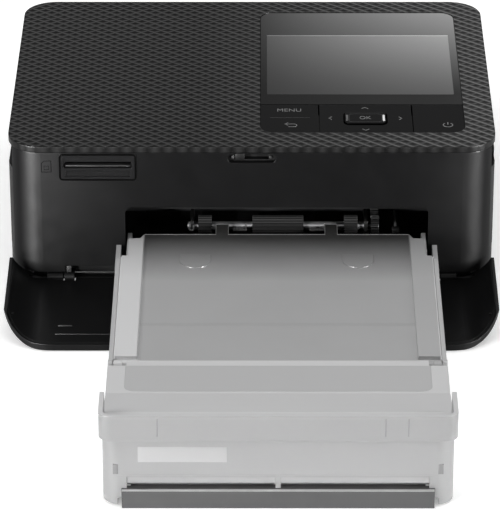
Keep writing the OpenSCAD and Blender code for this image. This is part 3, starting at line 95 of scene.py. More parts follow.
LATTICE_SHIFT = (0.4348, 0.0656)    # where the lattice starts, in cells across and back

PLASTICS = (
    # finish, material, colour, roughness, other settings
    ("panel", "panel_gloss", (0.0018, 0.0018, 0.002), 0.16, {"grain": 120.0, "depth": 0.004, "gloss": 0.02}),
    ("print_grey", "legend_grey", grey(0.2), 0.5, {"worn": 1.1, "depth": 0.002, "gloss": 0.1}),
    ("print_dim", "legend_dim", grey(0.032), 0.5, {"worn": 1.2, "depth": 0.002, "gloss": 0.1}),
    ("dark_plastic", "inner_black", (0.003, 0.003, 0.0032), 0.5, {"gloss": 0.06}),
    # also painted highlights: the grey strips on the casing's corners
    ("side_grey", "side_strip_grey", grey(0.03), 0.5, {"gloss": 0.05}),
    # also painted highlights: the line along the casing's lower edge by the hinge, and the left end of the
    # middle key's rim
    ("side_light", "line_grey", grey(0.09), 0.5, {"gloss": 0.1}),
    ("rim_dark", "slot_rim_black", grey(0.001), 0.4, {"depth": 0.006, "gloss": 0.01}),
    # painted highlights: pale lines along the inner cover's rear edge and the foot bar's edge
    ("edge_smoke", "smoke_painted_edge_highlight", grey(0.42), 0.5, {"worn": 1.05, "gloss": 0.2}),
    ("gear_black", "gear_black", grey(0.01), 0.5, {"gloss": 0.1}),
    ("tab_grey", "spring_tab_grey", grey(0.11), 0.5, {"worn": 1.1, "gloss": 0.1}),
    ("bezel", "bezel_black", (0.013, 0.013, 0.0135), 0.34, {"depth": 0.006, "gloss": 0.05}),
    ("hook_grey", "hook_grey", (0.24, 0.24, 0.242), 0.5, {"worn": 1.05, "gloss": 0.2}),
    ("bar_plastic", "foot_bar_grey", (0.068, 0.068, 0.069), 0.5, {"depth": 0.03, "gloss": 0.15}),
    ("gear_plastic", "gear_white", (0.62, 0.60, 0.54), 0.4, {"worn": 1.08}),
    ("ink_plastic", "ink_cassette_white", (0.58, 0.57, 0.53), 0.42, {"worn": 1.08}),
    ("film", "ink_film", (0.03, 0.045, 0.09), 0.2, {"grain": 200.0, "coat": 0.3}),
    ("board", "board_green", (0.02, 0.095, 0.045), 0.4, {"grain": 400.0, "worn": 1.5}),
    ("rubber", "rubber_black", (0.03, 0.03, 0.031), 0.75, {"grain": 2200.0, "depth": 0.03}),
    ("roller_rubber", "roller_rubber", grey(0.007), 0.7, {"grain": 2200.0, "depth": 0.03, "gloss": 0.05}),
    ("ceramic", "head_ceramic", (0.6, 0.57, 0.5), 0.35, {"worn": 1.1}),
)

METALS = (
    # finish, material, colour, roughness, axis of its fine lines
    ("bright_rim", "key_rim", grey(0.8), 0.25, "X"),
    ("dark_steel", "black_steel", (0.009, 0.009, 0.0095), 0.55, "X"),
    ("axle", "axle_steel", (0.16, 0.16, 0.163), 0.35, "X"),
    ("steel", "steel_plate", (0.55, 0.55, 0.56), 0.32, "Y"),
    ("shaft_steel", "shaft_steel", (0.5, 0.5, 0.51), 0.22, "X"),
    ("motor_steel", "motor_case", (0.3, 0.3, 0.31), 0.4, "X"),
    ("bronze", "bush_bronze", (0.55, 0.38, 0.17), 0.35, "X"),
    ("aluminium", "sink_aluminium", (0.7, 0.7, 0.71), 0.38, "X"),
)

SMOKES = (
    # finish, material, share of the cassette's grey, what is left of it at the rear and on upright faces as
    # painted shade
    ("smoke_plastic", "cassette_smoke", 1.0, 0.9, 0.9),
    ("lip_smoke", "lip_smoke", 1.28, 0.7, 0.66),
    ("panel_smoke", "outer_panel_smoke", 1.0, 0.7, 1.0),
    ("label_smoke", "label_smoke", 1.18, 0.7, 1.0),
    # pale filler for the gaps beside the bands, painted light over their shade
    ("light_smoke", "smoke_painted_gap_fill", 1.5, 0.7, 1.0),
    ("shade_smoke", "smoke_line", 0.7, 0.7, 1.0),
    # the slightly darker line across the inner cover
    ("guide_smoke", "guide_smoke", 0.795, 0.7, 1.0),
)

# nodes whose finish differs from that of their material slot
OWN_FINISH = {
    "top_cover": "lattice", "front_cover": "cover", "display_window": "glass", "card_slot_bezel": "bezel",
    "inner_cover": "inner_smoke", "outer_cover": "lip_smoke", "platen_shaft": "shaft_steel",
    "feed_roller": "dark_steel", "pinch_roller": "dark_steel", "pickup_shaft": "axle",
    "pickup_drive_shaft": "dark_steel", "cover_hinge_pins": "dark_steel", "ink_door_pins": "shaft_steel",
    "lid_hinge_pins": "smoke_plastic", "platen_sleeve": "roller_rubber", "pickup_rollers": "roller_rubber",
    "bottom_case": "dark_plastic", "card_socket": "dark_steel", "pickup_arms": "dark_plastic",
    "left_frame": "dark_steel", "right_frame": "dark_steel", "chassis_base": "dark_steel",
    "pickup_transfer_gear": "gear_black", "pickup_idler_gear": "gear_black",
    "feed_idler_gear": "gear_black", "feed_gear": "gear_black", "motor_pinion": "gear_black",
}

LAMPS = (
    # name, power, size, place, point that it faces
    ("key_left", 18.0, (1.1, 1.1), (-1.5, -1.0, 1.7), (0, -0.05, 0.02)),
    ("fill_right", 7.0, (1.2, 1.2), (1.8, -0.6, 1.2), (0, -0.05, 0.02)),
    ("top_soft", 15.0, (1.6, 1.6), (0.1, 0.2, 2.0), (0, -0.05, 0.02)),
    ("strip_left", 150.0, (0.16, 0.3), (-0.61, -0.78, 0.16), (-0.08, -0.055, 0.03)),
    ("strip_right", 150.0, (0.12, 0.3), (0.79, -0.61, 0.16), (0.08, -0.055, 0.03)),
)

SENSOR_WIDTH = 36.0
FOCUS_PIXELS = 3719.82      # focal length of the photograph, in its own pixels
PHOTO_PIXELS = 511          # longer side of the photograph


# Materials

def shader(name, colour, rough, metal=0.0, coat=0.0, gloss=0.5):
    """A new material with its Principled shader, ready for the detail nodes."""
    mat = bpy.data.materials.new(name)
    mat.use_nodes = True
    mat.diffuse_color = (*colour, 1)
    bsdf = mat.node_tree.nodes["Principled BSDF"]
    bsdf.inputs["Base Color"].default_value = (*colour, 1)
    bsdf.inputs["Roughness"].default_value = rough
    bsdf.inputs["Metallic"].default_value = metal
    bsdf.inputs["IOR"].default_value = 1.46
    bsdf.inputs["Specular IOR Level"].default_value = gloss
    bsdf.inputs["Coat Weight"].default_value = coat
    bsdf.inputs["Coat Roughness"].default_value = 0.1
    return mat, bsdf


def link(owner, source, target):
    """Joins an output to an input in the nodes of a material or a world."""
    owner.node_tree.links.new(source, target)


def math_node(owner, operation, first, second=None, third=None):
    """Adds a Math node; each input is a socket or a number."""
    node = owner.node_tree.nodes.new("ShaderNodeMath")
    node.operation = operation
    for socket, value in zip(node.inputs, (first, second, third)):
        if value is None:
            continue
        if isinstance(value, (int, float)):
            socket.default_value = value
        else:
            link(owner, value, socket)
    return node.outputs[0]


def ramp(owner, value, start, end, low=0.0, high=1.0):
    """Turns a value that runs from start to end into one that runs from low to high."""
    node = owner.node_tree.nodes.new("ShaderNodeMapRange")
    node.inputs["From Min"].default_value = start
    node.inputs["From Max"].default_value = end
    node.inputs["To Min"].default_value = low
    node.inputs["To Max"].default_value = high
    link(owner, value, node.inputs["Value"])
    return node.outputs[0]


def spread(owner, value, low, high):
    """Turns a value that runs from 0 to 1 into one that runs from low to high."""
    return ramp(owner, value, 0.0, 1.0, low, high)


def place(mat):
    """Coordinates on the object, in metres."""
    return mat.node_tree.nodes.new("ShaderNodeTexCoord").outputs["Object"]


def axes(mat, vector):
    """The parts of a vector, named X, Y and Z."""
    split = mat.node_tree.nodes.new("ShaderNodeSeparateXYZ")
    link(mat, vector, split.inputs[0])
    return split.outputs


def noise(mat, where, scale, detail=3.0):
    """Soft random values round one half."""
    node = mat.node_tree.nodes.new("ShaderNodeTexNoise")
    node.inputs["Scale"].default_value = scale
    node.inputs["Detail"].default_value = detail
    node.inputs["Roughness"].default_value = 0.55
    link(mat, where, node.inputs["Vector"])
    return node.outputs["Fac"]


def blend_colours(mat, factor, first, second):
    """Mixes two colours; each is a socket or a colour, and the factor is a socket."""
    node = mat.node_tree.nodes.new("ShaderNodeMix")
    node.data_type = "RGBA"
    link(mat, factor, node.inputs[0])
    for socket, colour in ((node.inputs[6], first), (node.inputs[7], second)):
        if isinstance(colour, tuple):
            socket.default_value = (*colour, 1)
        else:
            link(mat, colour, socket)
    return node.outputs[2]


def surface(mat, bsdf, height, distance, edge=0.25):
    """Bump from a height, over edges that look slightly rounded."""
    bevel = mat.node_tree.nodes.new("ShaderNodeBevel")
    bevel.samples = 6
    bevel.inputs["Radius"].default_value = edge * MM
    bump = mat.node_tree.nodes.new("ShaderNodeBump")
    bump.inputs["Strength"].default_value = 1.0
    bump.inputs["Distance"].default_value = distance * MM
    link(mat, bevel.outputs[0], bump.inputs["Normal"])
    link(mat, height, bump.inputs["Height"])
    link(mat, bump.outputs[0], bsdf.inputs["Normal"])


def upward_faces(mat, least):
    """1 on faces whose normal points up by more than the least amount."""
    geometry = mat.node_tree.nodes.new("ShaderNodeNewGeometry")
    facing = axes(mat, geometry.outputs["True Normal"])
    return math_node(mat, "GREATER_THAN", facing["Z"], least)


def scaled(colour, factor):
    """A colour made lighter or darker."""
    return tuple(min(c * factor, 1.0) for c in colour)


def moulded(name, colour, rough, grain=900.0, depth=0.02, worn=1.25, **more):
    """Moulded or milled finish: slight colour drift, uneven gloss and a fine grain."""
    mat, bsdf = shader(name, colour, rough, **more)
    where = place(mat)
    drift = noise(mat, where, 45.0, 4.0)
    lighter = tuple(min(c * worn + 0.001, 1.0) for c in colour)
    link(mat, blend_colours(mat, drift, colour, lighter), bsdf.inputs["Base Color"])
    uneven = spread(mat, noise(mat, where, 160.0), rough * 0.86, min(rough * 1.14, 1.0))
    link(mat, uneven, bsdf.inputs["Roughness"])
    surface(mat, bsdf, noise(mat, where, grain, 2.0), depth)
    return mat


def brushed(name, colour, rough, along):
    """Drawn or rolled metal, with its lines along one axis."""
    mat, bsdf = shader(name, colour, rough, 1.0)
    mapping = mat.node_tree.nodes.new("ShaderNodeMapping")
    mapping.inputs["Scale"].default_value = [0.04 if axis == along else 1.0 for axis in "XYZ"]
    link(mat, place(mat), mapping.inputs["Vector"])
    lines = noise(mat, mapping.outputs[0], 2600.0)
    link(mat, spread(mat, lines, rough * 0.75, rough * 1.3), bsdf.inputs["Roughness"])
    dull = tuple(c * 0.82 for c in colour)
    link(mat, blend_colours(mat, lines, dull, colour), bsdf.inputs["Base Color"])
    surface(mat, bsdf, lines, 0.006, 0.15)
    return mat


def lattice(name, colour, cell):
    """Diamond lattice of raised ridges with sunk fields between them, on the upper face only, with painted
    highlights on the ridges and painted shade in the fields.
    """
    mat, bsdf = shader(name, colour, 0.4)
    where = place(mat)
    part = axes(mat, where)
    across = math_node(mat, "MULTIPLY_ADD", part["X"], 1 / (cell.width * MM), LATTICE_SHIFT[0])
    back = math_node(mat, "MULTIPLY_ADD", part["Y"], 1 / (cell.depth * MM), LATTICE_SHIFT[1])
    ridges = []
    for operation in ("ADD", "SUBTRACT"):
        turn = math_node(mat, "FRACT", math_node(mat, operation, across, back))
        off = math_node(mat, "ABSOLUTE", math_node(mat, "SUBTRACT", turn, 0.5))
        ridges.append(math_node(mat, "SUBTRACT", 1.0, math_node(mat, "MULTIPLY", off, 2.0)))
    crest = math_node(mat, "SMOOTH_MAX", ridges[0], ridges[1], 0.12)
    height = math_node(mat, "POWER", crest, 1.3)
    upward = upward_faces(mat, 0.7)
    # painted sheen: one set of ridges is painted brighter than the other, and more so to the right
    dimmed = math_node(mat, "MULTIPLY", ridges[1], ramp(mat, part["X"], -0.085, 0.02, 0.95, 0.72))
    lit = math_node(mat, "SMOOTH_MAX", ridges[0], dimmed, 0.1)
    drift = noise(mat, where, 300.0)
    # painted highlight: the tone follows the brighter ridges
    tone = math_node(mat, "MULTIPLY_ADD", drift, 0.12, math_node(mat, "POWER", lit, 4.0))
    # painted light: the right end of the top is painted paler
    painted_light_rightward = ramp(mat, part["X"], -0.02, 0.09)
    # painted shade: the sunk fields are painted at 3 per cent of the ridges' colour
    sunk = scaled(colour, 0.03)
    ends = [blend_colours(mat, painted_light_rightward, level, scaled(level, 4.2)) for level in (sunk, colour)]
    faces = blend_colours(mat, tone, *ends)
    link(mat, blend_colours(mat, upward, scaled(colour, 0.08), faces), bsdf.inputs["Base Color"])
    link(mat, spread(mat, upward, 0.08, 0.03), bsdf.inputs["Specular IOR Level"])
    link(mat, spread(mat, crest, 0.5, 0.32), bsdf.inputs["Roughness"])
    surface(mat, bsdf, math_node(mat, "MULTIPLY", height, upward), cell.ridge, 0.7)
    return mat


def smoked(name, colour, rear=0.7, side=1.0, bands=None):
    """Translucent grey plastic with painted shade: darker nearer the printer, where less light comes
    through, and darker on upright faces by the side factor.
    """
    rough = 0.34
    mat, bsdf = shader(name, colour, rough, gloss=0.16)
    where = place(mat)
    part = axes(mat, where)
    painted_shade_toward_printer = ramp(mat, part["Y"], -0.103, -0.068)
    cloud = math_node(mat, "MULTIPLY_ADD", noise(mat, where, 26.0, 4.0), 0.16, -0.08)
    darker = math_node(mat, "ADD", painted_shade_toward_printer, cloud)
    # painted shade: upright faces get the side factor, and the part nearer the printer the rear factor
    faces = blend_colours(mat, upward_faces(mat, 0.15), scaled(colour, side), colour)
    mixed = blend_colours(mat, darker, faces, scaled(colour, rear))
    if bands:
        mixed = banded(mat, part["X"], painted_shade_toward_printer, mixed, *bands)
    link(mat, mixed, bsdf.inputs["Base Color"])
    link(mat, spread(mat, noise(mat, where, 120.0), rough * 0.8, rough * 1.2), bsdf.inputs["Roughness"])
    surface(mat, bsdf, noise(mat, where, 700.0, 2.0), 0.012, 0.3)
    return mat


def banded(mat, x, painted_shade_toward_printer, middle, left, right):
    """The inner cover's colours: its recessed middle, and a band on each side of it. As painted light the
    left band is lighter than the right, and as painted shade the bands darken nearer the printer.
    """
    edge = MIDDLE_HALF + 0.2
    off = math_node(mat, "ABSOLUTE", math_node(mat, "SUBTRACT", x, PATH_X * MM))
    inside = ramp(mat, off, (edge + 0.4) * MM, (edge - 0.4) * MM)
    across = math_node(mat, "GREATER_THAN", x, PATH_X * MM)
    bands = blend_colours(mat, across, left, right)
    bands = blend_colours(mat, math_node(mat, "MULTIPLY", painted_shade_toward_printer, 0.45), bands, grey(0.1))
    return blend_colours(mat, inside, bands, middle)


def painted_corner_sheen(mat):
    """Casing finish with painted sheen: the specular level is low in the middle of the front and rises out
    to the rounded corners, later and more steeply on the right, then falls back at the outer edge.
    """
    x = axes(mat, place(mat))["X"]
    off = math_node(mat, "DIVIDE", math_node(mat, "ABSOLUTE", x), CASING_HALF * MM)
    steep = math_node(mat, "MULTIPLY_ADD", math_node(mat, "GREATER_THAN", x, 0.0), 4.5, 4.2)
    edge = ramp(mat, off, 0.9, 0.955, 0.27, 0.0)
    level = math_node(mat, "MULTIPLY_ADD", math_node(mat, "POWER", off, steep), edge, 0.05)
    link(mat, level, mat.node_tree.nodes["Principled BSDF"].inputs["Specular IOR Level"])
    return mat


def dark_end(mat, start):
    """Blackens a metal beyond a place along X, where it carries a gear."""
    base = mat.node_tree.nodes["Principled BSDF"].inputs["Base Color"]
    beyond = math_node(mat, "GREATER_THAN", axes(mat, place(mat))["X"], start * MM)
    steel = base.links[0].from_socket
    link(mat, blend_colours(mat, beyond, steel, grey(0.01)), base)


def screen_with_painted_reflection(name, front, rear, rear_y, rough):
    """Dark screen under glass, with a painted reflection that makes it lighter to the rear and to the right.

    The front and the rear each have a level at the left and one at the right.
    """
    mat, bsdf = shader(name, grey(front[0]), rough, gloss=0.03)
    where = place(mat)
    part = axes(mat, where)
    painted_light_rightward = ramp(mat, part["X"], PANEL_LOW.x * MM, PANEL_HIGH.x * MM)
    painted_reflection_rearward = ramp(mat, part["Y"], LCD_LOW.y * MM, rear_y * MM)
    levels = [blend_colours(mat, painted_light_rightward, grey(left), grey(right)) for left, right in (front, rear)]
    rise = math_node(mat, "POWER", painted_reflection_rearward, 1.4)
    soft = math_node(mat, "MULTIPLY_ADD", noise(mat, where, 18.0), 0.06, rise)
    link(mat, blend_colours(mat, soft, *levels), bsdf.inputs["Base Color"])
    surface(mat, bsdf, noise(mat, where, 90.0), 0.004, 0.15)
    return mat


FINISH = {}


def make_finishes(look, cell):
    """All finishes of the printer, by the record's slot names and a few of their own."""
    smoke = tuple(look.cassette_grey)
    black = tuple(look.casing_black)
    fine = {"grain": 1500.0, "depth": 0.008}
    FINISH["casing"] = painted_corner_sheen(moulded("casing_black", black, 0.34, **fine))
    FINISH["cover"] = moulded("cover_black", scaled(black, 0.5), 0.35, gloss=0.07, **fine)
    FINISH["lattice"] = lattice("lattice_top", tuple(look.top_grey), cell)
    # painted reflection: the window and the screen are painted lighter to the rear and to the right
    FINISH["glass"] = screen_with_painted_reflection("window_glass", (0.002, 0.01), (0.045, 0.36), PANEL_HIGH.y, 0.16)
    FINISH["screen"] = screen_with_painted_reflection("screen_grey", (0.03, 0.12), (0.088, 0.43), LCD_HIGH.y, 0.22)
    FINISH["display"] = FINISH["screen"]
    # painted highlight: a pale strip along the screen's rear edge
    FINISH["edge_light"] = screen_with_painted_reflection("screen_edge_painted_highlight", (0.2, 0.75), (0.2, 0.75), LCD_HIGH.y, 0.3)
    for finish, name, colour, rough, more in PLASTICS:
        FINISH[finish] = moulded(name, colour, rough, **more)
    for finish, name, colour, rough, along in METALS:
        FINISH[finish] = brushed(name, colour, rough, along)
    dark_end(FINISH["axle"], 43.6)
    for finish, name, share, rear, side in SMOKES:
        FINISH[finish] = smoked(name, scaled(smoke, share), rear, side)
    # painted light: the left band lighter than the right; painted shade: the middle darkens strongly nearer
    # the printer
    bands = (scaled(smoke, 1.38), scaled(smoke, 0.88))
    FINISH["inner_smoke"] = smoked("inner_cover_smoke", scaled(smoke, 0.84), 0.07, bands=bands)


# Mesh helpers

def add_piece(mesh, name, material, body):
    """Adds a mesh in metres as a piece that rides on a body."""
    piece = bpy.data.objects.new(name, mesh)
    bpy.context.scene.collection.objects.link(piece)
    mesh.materials.append(FINISH[material])
    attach(piece, body)


def smooth_faces(mesh):
    for face in mesh.polygons:
        face.use_smooth = True


def finish_piece(bm, name, material, body, smooth=True):
    """Turns a bmesh in millimetres into a piece that rides on a body."""
    bmesh.ops.remove_doubles(bm, verts=bm.verts, dist=0.0005)
    bmesh.ops.recalc_face_normals(bm, faces=bm.faces)
    bmesh.ops.scale(bm, vec=(MM, MM, MM), verts=bm.verts)
    mesh = bpy.data.meshes.new(name)
    bm.to_mesh(mesh)
    bm.free()
    if smooth:
        smooth_faces(mesh)
        mesh.set_sharp_from_angle(angle=math.radians(35))
    add_piece(mesh, name, material, body)


def join(bm, other):
    """Adds another bmesh to this one."""
    mesh = bpy.data.meshes.new("part")
    other.to_mesh(mesh)
    other.free()
    bm.from_mesh(mesh)
    bpy.data.meshes.remove(mesh)


def moved(bm, x, y, z):
    bmesh.ops.translate(bm, vec=(x, y, z), verts=bm.verts)
    return bm


def turned(bm, degrees, axis):
    """Turns a bmesh round an axis through the origin."""
    matrix = Matrix.Rotation(math.radians(degrees), 3, axis)
    bmesh.ops.rotate(bm, cent=(0, 0, 0), matrix=matrix, verts=bm.verts)
    return bm


def upright(bm, y):
    """Stands a flat plate up in the front face: its y becomes z and it faces the front."""
    return moved(turned(bm, 90, "X"), 0, y, 0)


def soften(bm, edges, radius):
    """Rounds the given edges."""
    bmesh.ops.bevel(bm, geom=edges, offset=radius, offset_type="OFFSET", segments=2, profile=0.5,
                    affect="EDGES", clamp_overlap=True, material=-1)


def raise_faces(bm, faces, thick):
    """Extrudes flat faces upwards."""
    grown = bmesh.ops.extrude_face_region(bm, geom=faces)
    raised = [e for e in grown["geom"] if isinstance(e, bmesh.types.BMVert)]
    bmesh.ops.translate(bm, vec=(0, 0, thick), verts=raised)


def upper_edges(bm, height):
    return [e for e in bm.edges if all(v.co.z > height - 1e-6 for v in e.verts)]


def arc(x, y, radius, angles):
    """Points on a circle round x and y; the angles in degrees grow from the x axis to the y axis."""
    return [(x + radius * math.cos(math.radians(a)), y + radius * math.sin(math.radians(a)))
            for a in angles]


def rounded_outline(w, d, r):
    """A rectangle round the origin with rounded corners."""
    points = []
    for start, sx, sy in ((0, 1, 1), (90, -1, 1), (180, -1, -1), (270, 1, -1)):
        points += arc(sx * (w / 2 - r), sy * (d / 2 - r), r, range(start, start + 91, 15))
    return points


def block(low, high, round_by=0.0):
    """A box from corner to corner, with all its edges rounded."""
    low, high = Vector(low), Vector(high)
    bm = bmesh.new()
    bmesh.ops.create_cube(bm, size=1.0)
    bmesh.ops.scale(bm, vec=high - low, verts=bm.verts)
    bmesh.ops.translate(bm, vec=(low + high) / 2, verts=bm.verts)
    if round_by:
        soften(bm, bm.edges[:], round_by)
    return bm


def slab(outline, thick, round_by=0.0):
    """A flat plate from an outline in x and y, rising along z, with its upper edge rounded."""
    bm = bmesh.new()
    base = bm.faces.new([bm.verts.new((x, y, 0)) for x, y in outline])
    raise_faces(bm, [base], thick)
    bmesh.ops.recalc_face_normals(bm, faces=bm.faces)
    if round_by:
        soften(bm, upper_edges(bm, thick), round_by)
    return bm


def ring_plate(w, d, r, width, thick, round_by):
    """A flat rounded ring: the outline's face is inset and its middle taken out."""
    bm = bmesh.new()
    face = bm.faces.new([bm.verts.new((x, y, 0)) for x, y in rounded_outline(w, d, r)])
    bm.normal_update()
    bmesh.ops.inset_region(bm, faces=[face], thickness=width, use_even_offset=True, use_boundary=True)
    bmesh.ops.delete(bm, geom=[face], context="FACES")
    raise_faces(bm, bm.faces[:], thick)
    bmesh.ops.recalc_face_normals(bm, faces=bm.faces)
    soften(bm, [e for e in upper_edges(bm, thick) if e.calc_face_angle(0) > 1.0], round_by)
    return bm


def stroke(points, width, thick, closed=False):
    """A flat line of even width through points in x and y."""
    bm = bmesh.new()
    count = len(points)
    left, right = [], []
    for k, (x, y) in enumerate(points):
        before = points[k - 1] if k or closed else points[k]
        after = points[(k + 1) % count] if k < count - 1 or closed else points[k]
        along = Vector((after[0] - before[0], after[1] - before[1])).normalized()
        side = Vector((-along.y, along.x)) * width / 2
        left.append(bm.verts.new((x + side.x, y + side.y, 0)))
        right.append(bm.verts.new((x - side.x, y - side.y, 0)))
    for k in range(count if closed else count - 1):
        n = (k + 1) % count
        bm.faces.new((left[k], right[k], right[n], left[n]))
    raise_faces(bm, bm.faces[:], thick)
    return bm


def rod(start, end, radius):
    """A round bar between two points, with its ends closed."""
    start, end = Vector(start), Vector(end)
    bm = bmesh.new()
    bmesh.ops.create_cone(bm, cap_ends=True, segments=14, radius1=radius, radius2=radius,
                          depth=(end - start).length)
    turn = (end - start).to_track_quat("Z", "Y").to_matrix()
    bmesh.ops.rotate(bm, cent=(0, 0, 0), matrix=turn, verts=bm.verts)
    bmesh.ops.translate(bm, vec=(start + end) / 2, verts=bm.verts)
    return bm


def curve_mesh(curve):
    """The mesh of a curve or of a text."""
    holder = bpy.data.objects.new(curve.name, curve)
    bpy.context.scene.collection.objects.link(holder)
    evaluated = holder.evaluated_get(bpy.context.evaluated_depsgraph_get())
    mesh = bpy.data.meshes.new_from_object(evaluated)
    bpy.data.objects.remove(holder)
    return mesh


def bead(points, radius, name, material, body):
    """A fine round bead along a path in millimetres."""
    curve = bpy.data.curves.new(name, "CURVE")
    curve.dimensions = "3D"
    curve.bevel_depth = radius * MM
    curve.bevel_resolution = 2
    curve.use_fill_caps = True
    line = curve.splines.new("POLY")
    line.points.add(len(points) - 1)
    for point, spot in zip(line.points, points):
        point.co = (*(Vector(spot) * MM), 1)
    mesh = curve_mesh(curve)
    mesh.name = name
    mesh.materials.clear()
    smooth_faces(mesh)
    add_piece(mesh, name, material, body)


def word(text, width, height, x, y, z, name, body):
    """A printed word, centred on x and y, on a surface at height z."""
    curve = bpy.data.curves.new(name, "FONT")
    curve.body = text
    curve.extrude = 0.01
    mesh = curve_mesh(curve)
    bm = bmesh.new()
    bm.from_mesh(mesh)
    bpy.data.meshes.remove(mesh)
    low = [min(v.co[k] for v in bm.verts) for k in range(3)]
    high = [max(v.co[k] for v in bm.verts) for k in range(3)]
    bmesh.ops.translate(bm, vec=[-(a + b) / 2 for a, b in zip(low, high)], verts=bm.verts)
    size = (width / (high[0] - low[0]), height / (high[1] - low[1]), 1.5)
    bmesh.ops.scale(bm, vec=size, verts=bm.verts)
    finish_piece(moved(bm, x, y, z + 0.01), name, "print_grey", body, smooth=False)


# Settings

class LatticeSettings(bpy.types.PropertyGroup):
    """The lattice on the top of the casing"""
    width: FloatProperty(name="Cell width", default=5.2,
                         description="Width of one diamond, in millimetres")
    depth: FloatProperty(name="Cell depth", default=4.27,
                         description="Depth of one diamond, in millimetres")
    ridge: FloatProperty(name="Ridge height", default=0.42,
                         description="Height of the ridges, in millimetres")


class PrinterSettings(bpy.types.PropertyGroup):
    """Colours and fine measures of the printer"""
    casing_black: FloatVectorProperty(name="Casing", subtype="COLOR", default=(0.0055, 0.0055, 0.0058),
                                      description="Colour of the casing")
    top_grey: FloatVectorProperty(name="Top", subtype="COLOR", default=(0.05, 0.05, 0.05),
                                  description="Colour of the lattice's ridges")
    cassette_grey: FloatVectorProperty(name="Cassette", subtype="COLOR", default=(0.47, 0.47, 0.473),
                                       description="Colour of the smoked plastic")
    rim_inset: FloatProperty(name="Rim inset", default=1.5,
                             description="From the front cover's edge to its bead, in millimetres")
    legend_rise: FloatProperty(name="Legend height", default=0.03,
                               description="Height of the printed legends, in millimetres")


def settings():
    return bpy.context.scene.photo_printer


# Operators

class PRINTER_OT_stage(bpy.types.Operator):
    """Sets the floor, the lamps and the camera"""
    bl_idname = "printer.stage"
    bl_label = "Stage"

    def execute(self, context):
        scene = context.scene
        scene.view_settings.view_transform = "Standard"

        def shown(owner):
            """1 for what the camera sees straight, as a reflection or through glass."""
            path = owner.node_tree.nodes.new("ShaderNodeLightPath").outputs
            seen = math_node(owner, "MAXIMUM", path["Is Camera Ray"], path["Is Glossy Ray"])
            return math_node(owner, "MAXIMUM", seen, path["Is Transmission Ray"])

        world = bpy.data.worlds.new("studio")
        scene.world = world
        world.use_nodes = True
        sky = world.node_tree.nodes["Background"]
        sky.inputs["Color"].default_value = (1, 1, 1, 1)
        link(world, spread(world, shown(world), 0.26, 0.95), sky.inputs["Strength"])

        bm = bmesh.new()
        bmesh.ops.create_grid(bm, x_segments=2, y_segments=2, size=6.0)
        mesh = bpy.data.meshes.new("studio_floor")
        bm.to_mesh(mesh)
        bm.free()
        floor = bpy.data.objects.new("studio_floor", mesh)
        scene.collection.objects.link(floor)
        mat, bsdf = shader("floor_white", grey(0.93), 0.9)
        link(mat, math_node(mat, "MULTIPLY", shown(mat), 0.3), bsdf.inputs["Emission Strength"])
        bsdf.inputs["Emission Color"].default_value = (1, 1, 1, 1)
        mesh.materials.append(mat)

        for name, energy, size, spot, aim in LAMPS:
            lamp = bpy.data.lights.new(name, "AREA")
            lamp.energy = energy
            lamp.shape = "RECTANGLE"
            lamp.size, lamp.size_y = size
            holder = bpy.data.objects.new(name, lamp)
            # the strips only shine in the casing's corners
            holder.visible_diffuse = not name.startswith("strip")
            holder.location = spot
            holder.rotation_euler = (Vector(aim) - Vector(spot)).to_track_quat("-Z", "Y").to_euler()
            scene.collection.objects.link(holder)

        camera = bpy.data.cameras.new("photo_view")
        camera.sensor_width = SENSOR_WIDTH
        camera.lens = FOCUS_PIXELS * SENSOR_WIDTH / PHOTO_PIXELS
        camera.clip_start = 0.05
        holder = bpy.data.objects.new("photo_view", camera)
        ahead = Vector((-0.00329258, 0.88514051, -0.46531219))
        right = Vector((0.99999452, 0.00307238, -0.00123159))
        up = Vector((-0.000339485, 0.465313698, 0.885145777))
        turn = Matrix((right, up, -ahead)).transposed().to_4x4()
        holder.matrix_world = Matrix.Translation((0.00394, -1.30696, 0.66422)) @ turn
        scene.collection.objects.link(holder)
        scene.camera = holder
        return {"FINISHED"}


class PRINTER_OT_finishes(bpy.types.Operator):
    """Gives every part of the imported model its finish"""
    bl_idname = "printer.finishes"
    bl_label = "Finishes"

    def execute(self, context):
        make_finishes(settings(), context.scene.printer_lattice)
        slots = {p["node"]: p["material_slot"] for p in FRAME["record"]["subparts"]}
        for node, part in FRAME["nodes"].items():
            finish = FINISH[OWN_FINISH.get(node, slots[node])]
            materials = part.data.materials
            if not materials:
                materials.append(finish)
            for k in range(len(materials)):
                materials[k] = finish
        return {"FINISHED"}


